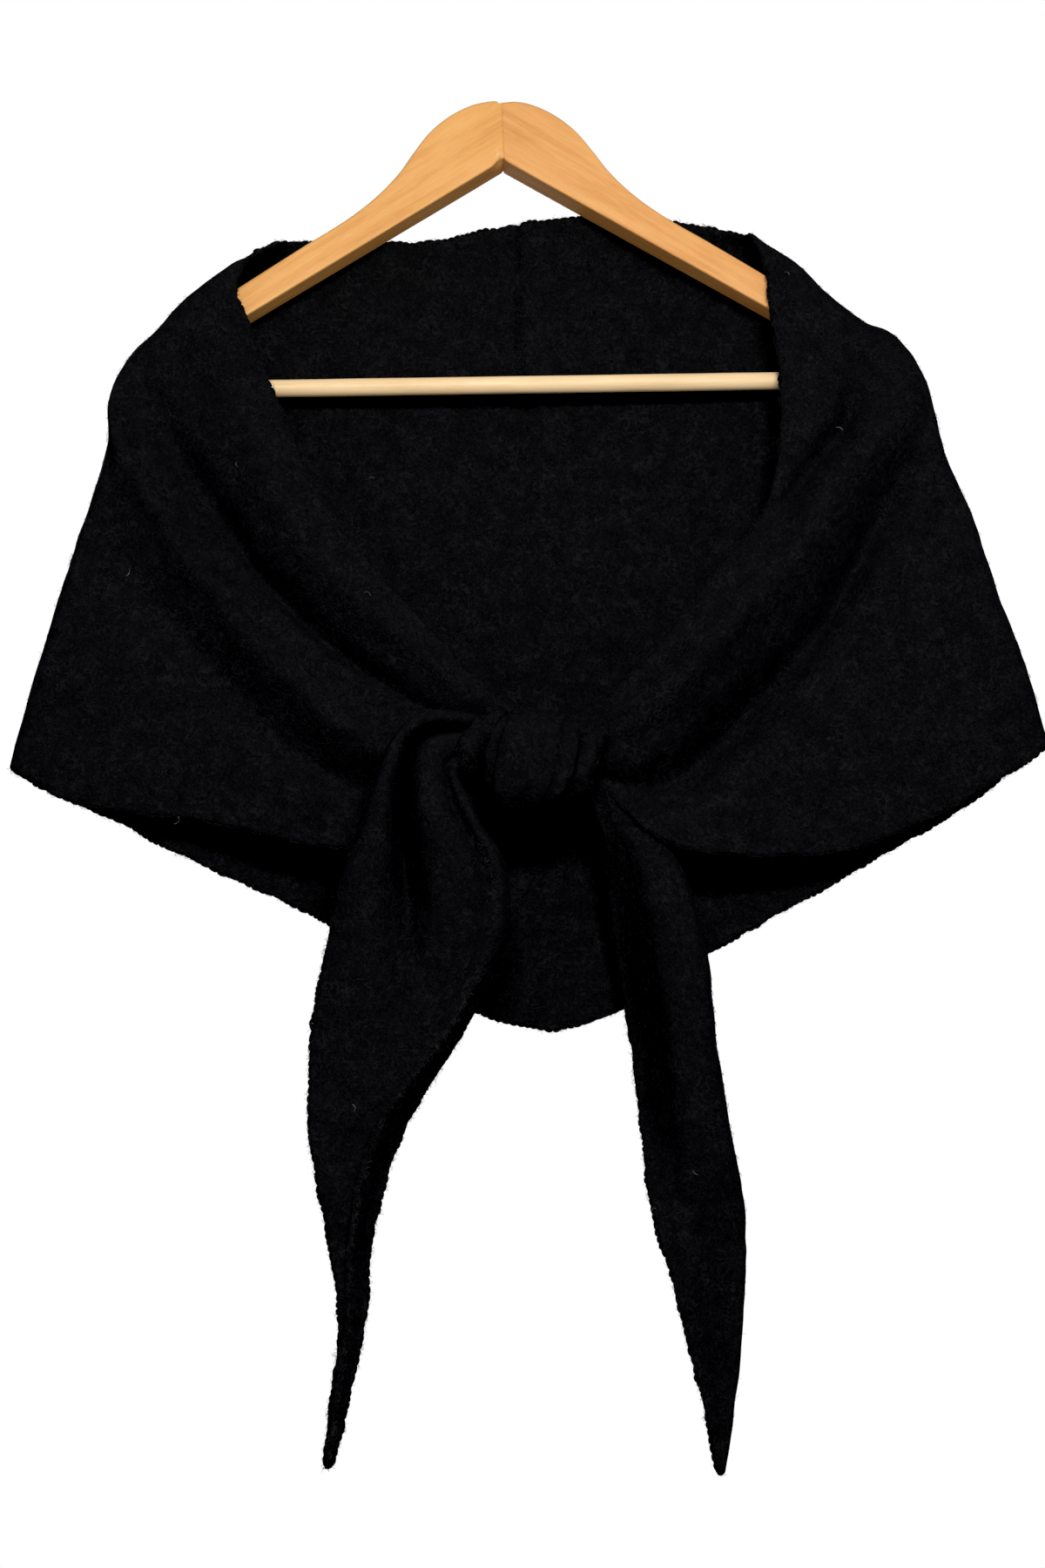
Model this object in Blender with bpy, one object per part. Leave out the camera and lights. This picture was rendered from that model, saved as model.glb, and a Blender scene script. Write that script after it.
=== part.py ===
"""A knitted triangle scarf, tied in front and hung on a wooden hanger.

The scarf is one triangle of thick brushed knit. Its long edge is the neck edge, and its blunt point
hangs at the centre of the back. The cloth lies over both arms of the hanger, its two fronts run
together into a half knot, and its two ends hang down from the knot.

Tables are in millimetres and meshes in metres. +X is the viewer's right, the front faces -Y and +Z
is up. The origin is the top of the hanger, on its mitre joint.
"""

import math

import bmesh
import bpy
import numpy as np

MM = 0.001

# Driving sizes of the cloth. A panel turns round its side fold over the share FRONT_TURN or
# BACK_TURN of its width, and the left tail's hem is rounded back by HEM_ROUNDING of its relief.
CLOTH_WALL = 2.6
SEAM_GAP = 0.3
FRONT_TURN = 0.04
BACK_TURN = 0.03
HEM_ROUNDING = 0.4

# Driving sizes of the hanger. The edge radius stays under ARM_EDGE_LIMIT of an arm's height.
HANGER_HALF_SPAN = 219.0
ARM_END_ROUNDING = 12.0
ARM_END_NARROWING = 0.4
MITRE_GAP = 0.3
ARM_DEPTH_AT_MITRE = 18.4
ARM_DEPTH_AT_END = 14.0
ARM_EDGE_RADIUS = 3.6
ARM_EDGE_LIMIT = 0.45
BAR_DIAMETER = 10.0
BAR_HEIGHT = -173.5
BAR_HALF_LENGTH = 206.0
SOCKET_CLEARANCE = 0.3
SOCKET_MOUTH = 186.0

# Fineness of the meshes, as counts of steps, and the angle from which an edge is sharp
FRONT_COLUMNS = 22
FRONT_ROWS = 28
BACK_COLUMNS = 30
BACK_ROWS = 16
TURN_COLUMNS = 4
TAIL_STATIONS = 22
SECTION_POINTS = 14
STRAND_SIDES = 16
STRAND_RINGS = 12
ARM_STATIONS = 30
ARM_EDGE_STEPS = 2
BAR_SIDES = 20
SHARP_ANGLE = math.radians(50)


def table(columns, *rows):
    """A short table of sizes: each named column as an array."""
    return dict(zip(columns.split(), np.array(rows, float).T))


# Side folds, from the neck edge down over the hanger's arm to the corner of the hem.
# front, seam and back are the depths of the front panel, of the fold itself and of the back panel.
LEFT_FOLD = table(
    "x z front seam back",
    (-141, -90, -11, 0, 11.5),
    (-162, -104, -11, 0, 11.5),
    (-183, -121, -10.5, 0, 10.5),
    (-201, -139, -9.5, 0, 9.5),
    (-215, -153, -9, 0, 9),
    (-223, -168, -9, 0, 9),
    (-225, -190, -10, 0, 10),
    (-230, -215, -11, -1, 9),
    (-243, -258, -12, -2, 8),
    (-262, -321, -12, -3, 6),
    (-281, -393, -11, -4, 4),
)
RIGHT_FOLD = table(
    "x z front seam back",
    (147, -87, -11, 0, 11.5),
    (164, -101, -11, 0, 11.5),
    (184, -122, -10.5, 0, 10.5),
    (206, -140, -9, 0, 9),
    (219, -146, -9, 0, 9),
    (230, -158, -9, 0, 9),
    (238, -176, -10, 0, 10),
    (242, -196, -11, -1, 9),
    (247, -222, -11, -1, 9),
    (259, -257, -12, -2, 8),
    (272, -308, -12, -3, 6),
    (284, -350, -12, -4, 5),
    (293, -393, -11, -4, 4),
)

# Edges of the two fronts, from the side fold to the knot
LEFT_NECK_EDGE = table(
    "x y z",
    (-141, -11, -90),
    (-151, -12, -106),
    (-154, -13, -120),
    (-148, -13, -142),
    (-138, -14, -172),
    (-124, -16, -208),
    (-113, -18, -240),
    (-92, -22, -274),
    (-67, -28, -308),
    (-42, -31, -338),
    (-22, -27, -361),
    (-3, -24, -372),
)
LEFT_HEM = table(
    "x y z",
    (-281, -11, -393),
    (-250, -12, -412),
    (-222, -13, -419),
    (-172, -15, -427),
    (-135, -20, -438),
    (-97, -26, -445),
    (-70, -31, -441),
    (-45, -30, -430),
    (-26, -26, -418),
    (-8, -24, -408),
)
RIGHT_NECK_EDGE = table(
    "x y z",
    (147, -11, -87),
    (148, -13, -104),
    (151, -13, -122),
    (151, -13, -146),
    (153, -14, -172),
    (153, -15, -192),
    (149, -16, -225),
    (140, -19, -258),
    (115, -24, -290),
    (77, -31, -338),
    (52, -32, -364),
    (32, -26, -377),
    (5, -24, -378),
)
RIGHT_HEM = table(
    "x y z",
    (293, -11, -393),
    (262, -12, -413),
    (239, -13, -426),
    (205, -14, -441),
    (177, -16, -451),
    (135, -22, -454),
    (100, -27, -453),
    (82, -31, -450),
    (62, -32, -438),
    (48, -30, -422),
    (30, -26, -408),
    (9, -24, -402),
)

# Edges of the back, from the left fold to the right fold
BACK_NECK_EDGE = table(
    "x y z",
    (-141, 11.5, -90),
    (-127, 12, -80),
    (-107, 12, -78),
    (-70, 13, -80),
    (-41, 14, -80),
    (0, 15, -71),
    (37, 14, -66),
    (93, 13, -69),
    (130, 12, -76),
    (147, 11.5, -87),
)
BACK_HEM = table(
    "x y z",
    (-281, 4, -393),
    (-262, 7, -403),
    (-237, 9, -414),
    (-175, 13, -447),
    (-111, 16, -478),
    (-70, 18, -503),
    (-29, 19, -530),
    (15, 19, -541),
    (54, 19, -529),
    (103, 17, -500),
    (158, 14, -471),
    (245, 10, -424),
    (274, 7, -405),
    (293, 4, -393),
)

# Ends of the two fronts, where they go into the knot
LEFT_GATHER = table("x y z", (-3, -24, -372), (-5, -24, -390), (-8, -24, -408))
RIGHT_GATHER = table("x y z", (5, -24, -378), (7, -24, -390), (9, -24, -402))

# Creases of a panel. across runs from the side fold, 0, to the knot, 1, and down from the neck
# edge, 0, to the hem, 1. A crease runs from its first place to its second, and bow is how far its
# middle lies off the straight line between them. width is in the same measure as down, depth is
# in millimetres towards the back, and a ridge has a negative depth. rise and fall are the shares
# of the crease's length over which it comes up and dies away.
CREASE_COLUMNS = "across0 down0 across1 down1 bow width depth rise fall"
LEFT_CREASES = table(
    CREASE_COLUMNS,
    (0.06, 0.03, 1.00, 0.13, 0.000, 0.070, -6.0, 0.35, 0.25),
    (0.07, 0.23, 1.00, 0.42, -0.085, 0.055, 8.0, 0.30, 0.25),
    (0.06, 0.29, 1.00, 0.76, -0.040, 0.065, -6.0, 0.30, 0.25),
    (0.10, 0.45, 1.00, 0.90, -0.020, 0.070, 7.0, 0.50, 0.25),
    (0.30, 0.27, 0.80, 0.48, 0.000, 0.022, 1.5, 0.30, 0.30),
)
RIGHT_CREASES = table(
    CREASE_COLUMNS,
    (0.04, 0.18, 0.52, -0.02, 0.065, 0.040, 5.0, 0.40, 0.20),
    (0.05, 0.33, 1.00, 0.08, -0.060, 0.090, -8.0, 0.25, 0.25),
    (0.03, 0.38, 0.97, 0.95, -0.360, 0.075, 10.0, 0.40, 0.20),
    (0.78, 0.34, 0.92, 0.34, 0.000, 0.070, 4.0, 0.40, 0.40),
    (0.66, 0.52, 0.98, 0.55, 0.000, 0.100, -4.0, 0.50, 0.40),
)
BACK_CREASES = table(
    CREASE_COLUMNS,
    (0.30, 0.35, 0.12, 1.00, 0.000, 0.060, 3.0, 0.60, 0.05),
    (0.70, 0.35, 0.88, 1.00, 0.000, 0.060, 3.0, 0.60, 0.05),
)


def smooth(columns, share, measured="x y z"):
    """Points on the smooth curve through a table's rows, with all of its columns.

    share runs from 0 to 1 in step with the length of the straight lines between the rows, which
    is taken from the columns named in measured. Each stretch is a cubic whose slope at a row is
    the mean of the slopes on both sides of it.
    """
    rows = np.stack(list(columns.values()), axis=1)
    places = [i for i, name in enumerate(columns) if name in measured.split()]
    steps = np.linalg.norm(np.diff(rows[:, places], axis=0), axis=1)
    knots = np.concatenate([[0.0], np.cumsum(steps)]) / steps.sum()
    slopes = np.diff(rows, axis=0) / np.diff(knots)[:, None]
    at_rows = np.vstack([slopes[:1], (slopes[1:] + slopes[:-1]) / 2, slopes[-1:]])
    share = np.asarray(share, float)
    i = np.clip(np.searchsorted(knots, share, side="right") - 1, 0, len(knots) - 2)
    span = (knots[i + 1] - knots[i])[..., None]
    t = ((share - knots[i]) / (knots[i + 1] - knots[i]))[..., None]
    return (
        (2 * t**3 - 3 * t**2 + 1) * rows[i]
        + (t**3 - 2 * t**2 + t) * span * at_rows[i]
        + (3 * t**2 - 2 * t**3) * rows[i + 1]
        + (t**3 - t**2) * span * at_rows[i + 1]
    )


def coons(near, far, start, end, across, down):
    """A patch stretched between four edge curves, blended evenly from opposite edges.

    near and far are the curves at down = 0 and 1, over across. start and end are the curves at
    across = 0 and 1, over down.
    """
    u = across[:, None, None]
    v = down[None, :, None]
    ruled_down = (1 - v) * near[:, None] + v * far[:, None]
    ruled_across = (1 - u) * start[None] + u * end[None]
    corners = (1 - u) * ((1 - v) * near[0] + v * far[0]) + u * ((1 - v) * near[-1] + v * far[-1])
    return ruled_down + ruled_across - corners


def creased(across, down, creases):
    """Depth that the creases of a panel add at each of its points."""
    u = across[:, None]
    v = down[None, :]
    depth = np.zeros((len(across), len(down)))
    for u0, v0, u1, v1, bow, width, deep, rise, fall in zip(*creases.values()):
        along = (u - u0) / (u1 - u0)
        offset = v - (v0 + (v1 - v0) * along + 4 * bow * along * (1 - along))
        strength = ramp(along / rise) * ramp((1 - along) / fall)
        depth += deep * strength * np.exp(-((offset / width) ** 2))
    return depth


def ramp(x):
    """Rises smoothly from 0 at x = 0 to 1 at x = 1."""
    x = np.clip(x, 0.0, 1.0)
    return x * x * (3 - 2 * x)


def turned_columns(turn, count, both_sides):
    """Places across a panel, and how far each has come round the fold at its side.

    Next to a fold the columns stand as on a quarter circle, which takes up the share turn.
    """
    angles = np.linspace(0, math.pi / 2, TURN_COLUMNS + 1)
    start = turn * (1 - np.cos(angles))
    came_round = np.sin(angles)
    flat = count - TURN_COLUMNS - (TURN_COLUMNS if both_sides else 0)
    middle = np.linspace(turn, 1 - turn if both_sides else 1.0, flat + 1)[1:]
    across = np.concatenate([start, middle])
    turned = np.concatenate([came_round, np.ones(len(middle))])
    if both_sides:
        across = np.concatenate([across, 1 - start[-2::-1]])
        turned = np.concatenate([turned, came_round[-2::-1]])
    return across, turned


def fold_line(fold, down, depth_name, seam_shift):
    """A side fold as the edge of one panel, and the depth of the fold's own line."""
    rows = smooth(fold, down)
    names = list(fold)
    x, z = rows[:, names.index("x")], rows[:, names.index("z")]
    edge = np.stack([x, rows[:, names.index(depth_name)], z], axis=1)
    return edge, rows[:, names.index("seam")] + seam_shift


def front_panel(fold, neck_edge, hem, gather, creases):
    """Middle surface of one front, from the side fold to the knot."""
    across, turned = turned_columns(FRONT_TURN, FRONT_COLUMNS, both_sides=False)
    down = np.linspace(0, 1, FRONT_ROWS + 1)
    start, seam = fold_line(fold, down, "front", -SEAM_GAP / 2)
    points = coons(
        smooth(neck_edge, across), smooth(hem, across), start, smooth(gather, down), across, down
    )
    points[..., 1] += creased(across, down, creases)
    points[..., 1] = seam + (points[..., 1] - seam) * turned[:, None]
    return points


def back_panel():
    """Middle surface of the back, from the left fold to the right fold."""
    across, turned = turned_columns(BACK_TURN, BACK_COLUMNS, both_sides=True)
    down = np.linspace(0, 1, BACK_ROWS + 1)
    start, left_seam = fold_line(LEFT_FOLD, down, "back", SEAM_GAP / 2)
    end, right_seam = fold_line(RIGHT_FOLD, down, "back", SEAM_GAP / 2)
    points = coons(
        smooth(BACK_NECK_EDGE, across), smooth(BACK_HEM, across), start, end, across, down
    )
    points[..., 1] += creased(across, down, BACK_CREASES)
    seam = np.where(across[:, None] < 0.5, left_seam[None], right_seam[None])
    points[..., 1] = seam + (points[..., 1] - seam) * turned[:, None]
    return points


def unit(vectors):
    """The vectors' directions, at length 1."""
    return vectors / np.maximum(np.linalg.norm(vectors, axis=-1, keepdims=True), 1e-9)


def wall(points, thickness, towards, folded_ends=()):
    """A closed wall around a surface: corner places and faces.

    towards is a direction on the outer side. The columns in folded_ends meet another panel on a
    fold, so the wall is cut square to the depth there.
    """
    normals = unit(np.cross(np.gradient(points, axis=0), np.gradient(points, axis=1)))
    if (normals @ np.array(towards, float)).mean() < 0:
        normals = -normals
    for column in folded_ends:
        normals[column, :, 1] = 0
    normals = unit(normals)
    half = np.broadcast_to(np.asarray(thickness, float) / 2, points.shape[:2])[..., None]
    outer = points + normals * half
    inner = points - normals * half
    rows, columns = points.shape[:2]
    index = np.arange(rows * columns).reshape(rows, columns)
    under = index + rows * columns
    a, b, c, d = index[:-1, :-1], index[1:, :-1], index[1:, 1:], index[:-1, 1:]
    faces = np.stack([a, b, c, d], axis=-1).reshape(-1, 4)
    lower = np.stack([a, d, c, b], axis=-1).reshape(-1, 4) + rows * columns
    border = np.concatenate(
        [index[:-1, 0], index[-1, :-1], index[:0:-1, -1], index[0, :0:-1]]
    )
    after = np.roll(border, -1)
    rim = np.stack([after, border, under.flat[border], under.flat[after]], axis=-1)
    return np.concatenate([outer.reshape(-1, 3), inner.reshape(-1, 3)]), [
        *faces.tolist(),
        *lower.tolist(),
        *rim.tolist(),
    ]


def tube(rings):
    """A closed skin over rings of points, with both ends closed by a fan."""
    count, around = rings.shape[:2]
    index = np.arange(count * around).reshape(count, around)
    beside = np.roll(index, -1, axis=1)
    sides = np.stack([index[:-1], beside[:-1], beside[1:], index[1:]], axis=-1).reshape(-1, 4)
    points = np.concatenate([rings.reshape(-1, 3), rings[[0, -1]].mean(axis=1)])
    first, last = count * around, count * around + 1
    start = [[first, b, a] for a, b in zip(index[0], beside[0])]
    end = [[last, a, b] for a, b in zip(index[-1], beside[-1])]
    return points, [*sides.tolist(), *start, *end]


def material(name, colour, roughness):
    """A plain finish with no metal in it."""
    made = bpy.data.materials.new(name)
    made.use_nodes = True
    shader = made.node_tree.nodes["Principled BSDF"]
    shader.inputs["Base Color"].default_value = (*colour, 1.0)
    shader.inputs["Roughness"].default_value = roughness
    shader.inputs["Metallic"].default_value = 0.0
    return made


def add_piece(name, points, faces, finish, holder, place=(0, 0, 0)):
    """One named solid, with its own origin at place, facing outwards and shaded smooth."""
    mesh = bpy.data.meshes.new(name)
    mesh.from_pydata(((points - np.array(place, float)) * MM).tolist(), [], faces)
    shape = bmesh.new()
    shape.from_mesh(mesh)
    bmesh.ops.recalc_face_normals(shape, faces=shape.faces)
    shape.to_mesh(mesh)
    shape.free()
    mesh.materials.append(finish)
    mesh.shade_smooth()
    mesh.set_sharp_from_angle(angle=SHARP_ANGLE)
    piece = bpy.data.objects.new(name, mesh)
    piece.location = [value * MM for value in place]
    piece.parent = holder
    bpy.context.scene.collection.objects.link(piece)
    return piece


# Left tail: it comes out of the knot as an arch, widens, and twists down to its tip.
# outer and inner are its two outlines, depth is the place of its front, relief the depth of its
# folds, arch the share of the arched section against the turned one, turn how far its inner strip
# goes back, and strip that strip's share of the width.
LEFT_TAIL = table(
    "outer_x outer_z inner_x inner_z depth relief arch turn strip",
    (-26, -379, -28, -408, -43, 3, 1.0, 2, 0.10),
    (-38, -377, -37, -412, -46, 5, 1.0, 2, 0.10),
    (-52, -377, -41, -415, -49, 8, 1.0, 2, 0.10),
    (-67, -386, -42, -419, -50, 9, 1.0, 2, 0.10),
    (-78, -406, -37, -427, -50, 9, 1.0, 3, 0.10),
    (-87, -431, -28, -440, -50, 8, 0.9, 4, 0.10),
    (-99, -464, -14, -464, -49, 6, 0.6, 5, 0.10),
    (-108, -503, -15, -503, -48, 4, 0.3, 8, 0.12),
    (-116, -547, -38, -547, -47, 3, 0.1, 12, 0.14),
    (-118, -601, -71, -598, -46, 2, 0.0, 14, 0.30),
    (-110, -654, -89, -652, -45, 2, 0.0, 12, 0.55),
    (-105, -697, -94, -696, -44, 1, 0.0, 8, 0.75),
    (-110, -735, -103, -735, -43, 1, 0.0, 5, 0.75),
    (-114, -768, -111.5, -768, -42, 0, 0.0, 2, 0.75),
)

# Right tail: it comes out under the knot and hangs folded double along its right side.
RIGHT_TAIL = table(
    "outer_x outer_z inner_x inner_z depth relief layer",
    (32, -412, 54, -416, -24.7, 1, 4),
    (41, -434, 68, -436, -24.5, 3, 6),
    (45, -455, 80, -455, -22, 6, 8),
    (46, -480, 89, -480, -20, 7, 9),
    (50, -515, 95, -515, -17, 7, 9),
    (55, -555, 97, -555, -18, 6, 9),
    (58, -600, 102, -600, -18, 4, 8),
    (61, -645, 108, -645, -18, 3, 7),
    (72, -690, 106, -690, -18, 2, 6),
    (80, -730, 101, -730, -18, 1, 5),
    (86, -758, 96, -758, -18, 0.5, 3),
    (89, -779, 91.5, -779, -18, 0, 1.6),
)

# Sections across the tails: place is the share of the width, and depth is in shares of the relief.
ARCH_SECTION = table(
    "place depth",
    (0.00, 0.7),
    (0.05, 0.1),
    (0.15, -0.2),
    (0.27, 0.3),
    (0.40, 1.0),
    (0.52, 0.5),
    (0.66, -0.3),
    (0.80, 0.0),
    (0.88, 0.4),
    (0.95, 0.0),
    (1.00, 0.4),
)
FOLDED_SECTION = table(
    "place depth layer",
    (0.00, 0.2, 0.0),
    (0.10, -0.1, 0.0),
    (0.25, 0.4, 0.0),
    (0.42, 0.9, 0.0),
    (0.60, 0.1, 0.0),
    (0.80, -0.5, 0.0),
    (0.93, -0.3, 0.1),
    (1.00, 0.0, 0.5),
    (0.93, 0.0, 0.9),
    (0.75, 0.0, 1.0),
    (0.55, 0.0, 1.0),
    (0.40, 0.0, 1.0),
)

# Strands of the knot: the wide wrap, the strand on its left and the narrow band on its right.
# lean is the turn of the strand's width about the view, in degrees.
STRAND_COLUMNS = "x y z half_width half_depth lean"
KNOT_WRAP = table(
    STRAND_COLUMNS,
    (14, -27.5, -373, 13, 3.0, -10),
    (14, -40, -376, 18, 6.0, -12),
    (11, -50, -384, 20.5, 8.0, -14),
    (4, -54, -397, 23, 9.5, -16),
    (-1, -52, -410, 22, 9.0, -16),
    (-4, -45, -421, 18, 7.0, -16),
    (-5, -36, -428, 13, 5.0, -16),
    (-5, -27, -429, 9, 3.0, -16),
)
KNOT_STRAND = table(
    STRAND_COLUMNS,
    (-8, -39, -369, 4.0, 2.5, 40),
    (-13.2, -45, -373.3, 6.0, 4.0, 42),
    (-21.2, -51, -382.7, 6.5, 5.0, 42),
    (-28, -54, -393, 6.6, 5.0, 30),
    (-32, -53, -403, 6.2, 4.5, 5),
    (-31, -49, -411, 5.0, 3.5, -5),
    (-28, -44, -416, 3.0, 2.5, -10),
)
KNOT_BAND = table(
    STRAND_COLUMNS,
    (41, -37, -386, 3.5, 2.5, -20),
    (38, -43, -390, 5.5, 4.0, -22),
    (34.3, -48.5, -398, 6.3, 4.8, -24),
    (30.2, -50.5, -409, 6.3, 4.8, -10),
    (28, -47, -419, 5.6, 4.2, 0),
    (26, -40, -427, 4.0, 3.0, 0),
    (26, -33, -429, 2.6, 2.2, 0),
)


def tail_stations(columns):
    """Each column of a tail's table at its stations, ready to be spread across the tail."""
    down = np.linspace(0, 1, TAIL_STATIONS + 1)
    return smooth(columns, down, measured="outer_x outer_z").T[..., None]


def section(columns):
    """Each column of a section table at even steps across the tail."""
    return smooth(columns, np.linspace(0, 1, SECTION_POINTS + 1), measured="place").T


def between(outer_x, outer_z, inner_x, inner_z, place, y):
    """Points from a tail's outer outline, place 0, to its inner one, place 1, at the depths y."""
    x = outer_x + (inner_x - outer_x) * place
    z = outer_z + (inner_z - outer_z) * place
    return np.stack([x, y, z], axis=-1)


def left_tail():
    """Middle surface of the left tail: stations down its length, points across it."""
    *outlines, depth, relief, arch, turn, strip = tail_stations(LEFT_TAIL)
    place, fold = section(ARCH_SECTION)
    into_strip = ramp((place - (1 - strip)) / strip)
    rounded = HEM_ROUNDING * (1 - np.sqrt(np.clip(1 - (2 * place - 1) ** 2, 0, 1)))
    y = depth + relief * (arch * fold + (1 - arch) * rounded) + turn * into_strip
    return between(*outlines, place, y)


def right_tail():
    """Middle surface of the right tail, folded double round its right side."""
    *outlines, depth, relief, layer = tail_stations(RIGHT_TAIL)
    place, fold, behind = section(FOLDED_SECTION)
    return between(*outlines, place, depth + relief * fold + layer * behind)


def strand(columns):
    """Rings round a flattened strand, as wide as its table says and leaning with it."""
    x, y, z, half_width, half_depth, lean = smooth(columns, np.linspace(0, 1, STRAND_RINGS + 1)).T
    path = np.stack([x, y, z], axis=1)
    along = unit(np.gradient(path, axis=0))
    lean = np.radians(lean)
    level = np.stack([np.cos(lean), np.zeros_like(lean), np.sin(lean)], axis=1)
    level = unit(level - along * (level * along).sum(axis=1, keepdims=True))
    out = np.cross(level, along)
    angle = np.linspace(0, 2 * math.pi, STRAND_SIDES, endpoint=False)
    return (
        path[:, None]
        + level[:, None] * (half_width[:, None] * np.cos(angle))[..., None]
        + out[:, None] * (half_depth[:, None] * np.sin(angle))[..., None]
    )


# Outline of an arm of the hanger, from the mitre to its end, as heights of its top and underside
ARM = table(
    "x top underside",
    (0, 0, -38),
    (8, -0.5, -43),
    (17, -2.5, -48.7),
    (30, -9, -56.8),
    (42, -19, -64.3),
    (52, -32, -70.5),
    (61, -45, -76.1),
    (74, -59, -84.3),
    (90, -72, -94.3),
    (117, -89.5, -111.1),
    (152, -112.5, -133),
    (176, -128.5, -148),
    (188, -136.5, -157),
    (196, -142, -167),
    (204, -148, -178),
    (210, -154, -183.5),
    (216, -163, -181.5),
    (219, -172, -177),
)


def hanger_arm(side):
    """Rings round one arm: rounded oblongs that get thinner from the mitre to the end."""
    reach = np.linspace(0, 1, ARM_STATIONS + 1)
    x, top, underside = smooth(ARM, reach, measured="x top").T
    half = ARM_DEPTH_AT_MITRE / 2
    half = half + (ARM_DEPTH_AT_END / 2 - half) * x / HANGER_HALF_SPAN
    rounded = ramp((x - HANGER_HALF_SPAN + ARM_END_ROUNDING) / ARM_END_ROUNDING)
    half = half * (1 - ARM_END_NARROWING * rounded)
    radius = np.minimum(ARM_EDGE_RADIUS, (top - underside) * ARM_EDGE_LIMIT)
    rings = []
    for quarter, (sign_y, sign_z) in enumerate(((1, 1), (-1, 1), (-1, -1), (1, -1))):
        for step in range(ARM_EDGE_STEPS + 1):
            angle = math.pi / 2 * (quarter + step / ARM_EDGE_STEPS)
            y = sign_y * (half - radius) + radius * math.cos(angle)
            edge = top - radius if sign_z > 0 else underside + radius
            z = edge + radius * math.sin(angle)
            rings.append(np.stack([side * (x + MITRE_GAP / 2), y, z], axis=1))
    return np.stack(rings, axis=1)


def rod(radius, start, end, sides):
    """Rings of a round rod along X, at the height of the bar."""
    angle = np.linspace(0, 2 * math.pi, sides, endpoint=False)
    ring = np.stack([np.cos(angle) * radius, np.sin(angle) * radius + BAR_HEIGHT], axis=1)
    return np.stack([np.insert(ring, 0, x, axis=1) for x in (start, end)])


def cut_socket(arm, side):
    """Bores the blind hole that holds the end of the bar."""
    radius = BAR_DIAMETER / 2 + SOCKET_CLEARANCE
    bottom = BAR_HALF_LENGTH + SOCKET_CLEARANCE
    points, faces = tube(rod(radius, side * SOCKET_MOUTH, side * bottom, BAR_SIDES))
    cutter = add_piece(arm.name + "_socket", points, faces, arm.data.materials[0], arm.parent)
    cutter.hide_render = True
    cutter.display_type = "WIRE"
    bore = arm.modifiers.new("socket", "BOOLEAN")
    bore.operation = "DIFFERENCE"
    bore.solver = "EXACT"
    bore.object = cutter


def build_hanger(holder):
    """The two arms and the round bar between them."""
    wood = material("hanger_wood", (0.72, 0.40, 0.17), 0.45)
    bar_wood = material("bar_wood", (0.74, 0.50, 0.27), 0.5)
    for name, side in (("hanger_arm_left", -1), ("hanger_arm_right", 1)):
        points, faces = tube(hanger_arm(side))
        cut_socket(add_piece(name, points, faces, wood, holder), side)
    place = (0, 0, BAR_HEIGHT)
    points, faces = tube(rod(BAR_DIAMETER / 2, -BAR_HALF_LENGTH, BAR_HALF_LENGTH, BAR_SIDES))
    add_piece("hanger_bar", points, faces, bar_wood, holder, place)


def build_scarf(holder):
    """The stretches of the one cloth: three panels, two tails and the knot's three strands."""
    knit = material("black_knit", (0.007, 0.007, 0.009), 0.95)
    front, back = (0, -1, 0), (0, 1, 0)
    left = front_panel(LEFT_FOLD, LEFT_NECK_EDGE, LEFT_HEM, LEFT_GATHER, LEFT_CREASES)
    right = front_panel(RIGHT_FOLD, RIGHT_NECK_EDGE, RIGHT_HEM, RIGHT_GATHER, RIGHT_CREASES)
    walls = (
        ("back_panel", back_panel(), back, (0, -1)),
        ("front_left", left, front, (0,)),
        ("front_right", right, front, (0,)),
        ("tail_left", left_tail(), front, ()),
        ("tail_right", right_tail(), front, ()),
    )
    for name, surface, towards, folded_ends in walls:
        add_piece(name, *wall(surface, CLOTH_WALL, towards, folded_ends), knit, holder)
    strands = (("knot_wrap", KNOT_WRAP), ("knot_strand", KNOT_STRAND), ("knot_band", KNOT_BAND))
    for name, columns in strands:
        add_piece(name, *tube(strand(columns)), knit, holder)


def main():
    """Clears the scene and builds the hanger and the scarf under one holder."""
    for old in list(bpy.data.objects):
        bpy.data.objects.remove(old, do_unlink=True)
    holder = bpy.data.objects.new("scarf_on_hanger", None)
    bpy.context.scene.collection.objects.link(holder)
    build_hanger(holder)
    build_scarf(holder)
    bpy.context.view_layer.update()


if __name__ == "__main__":
    main()
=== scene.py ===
"""A black brushed-knit triangle scarf, half-knotted in front, on a wooden hanger with a round bar.

Tables are in millimetres and meshes in metres. +X is the viewer's right, the front faces -Y, +Z is
up, and the origin is the top of the hanger, on the mitre joint of its two arms.
"""

import sys
import logging
import math
from dataclasses import dataclass
from enum import Enum
from typing import Mapping, Sequence, Union

import bpy
import numpy as np
from mathutils import Matrix, Vector


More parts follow.
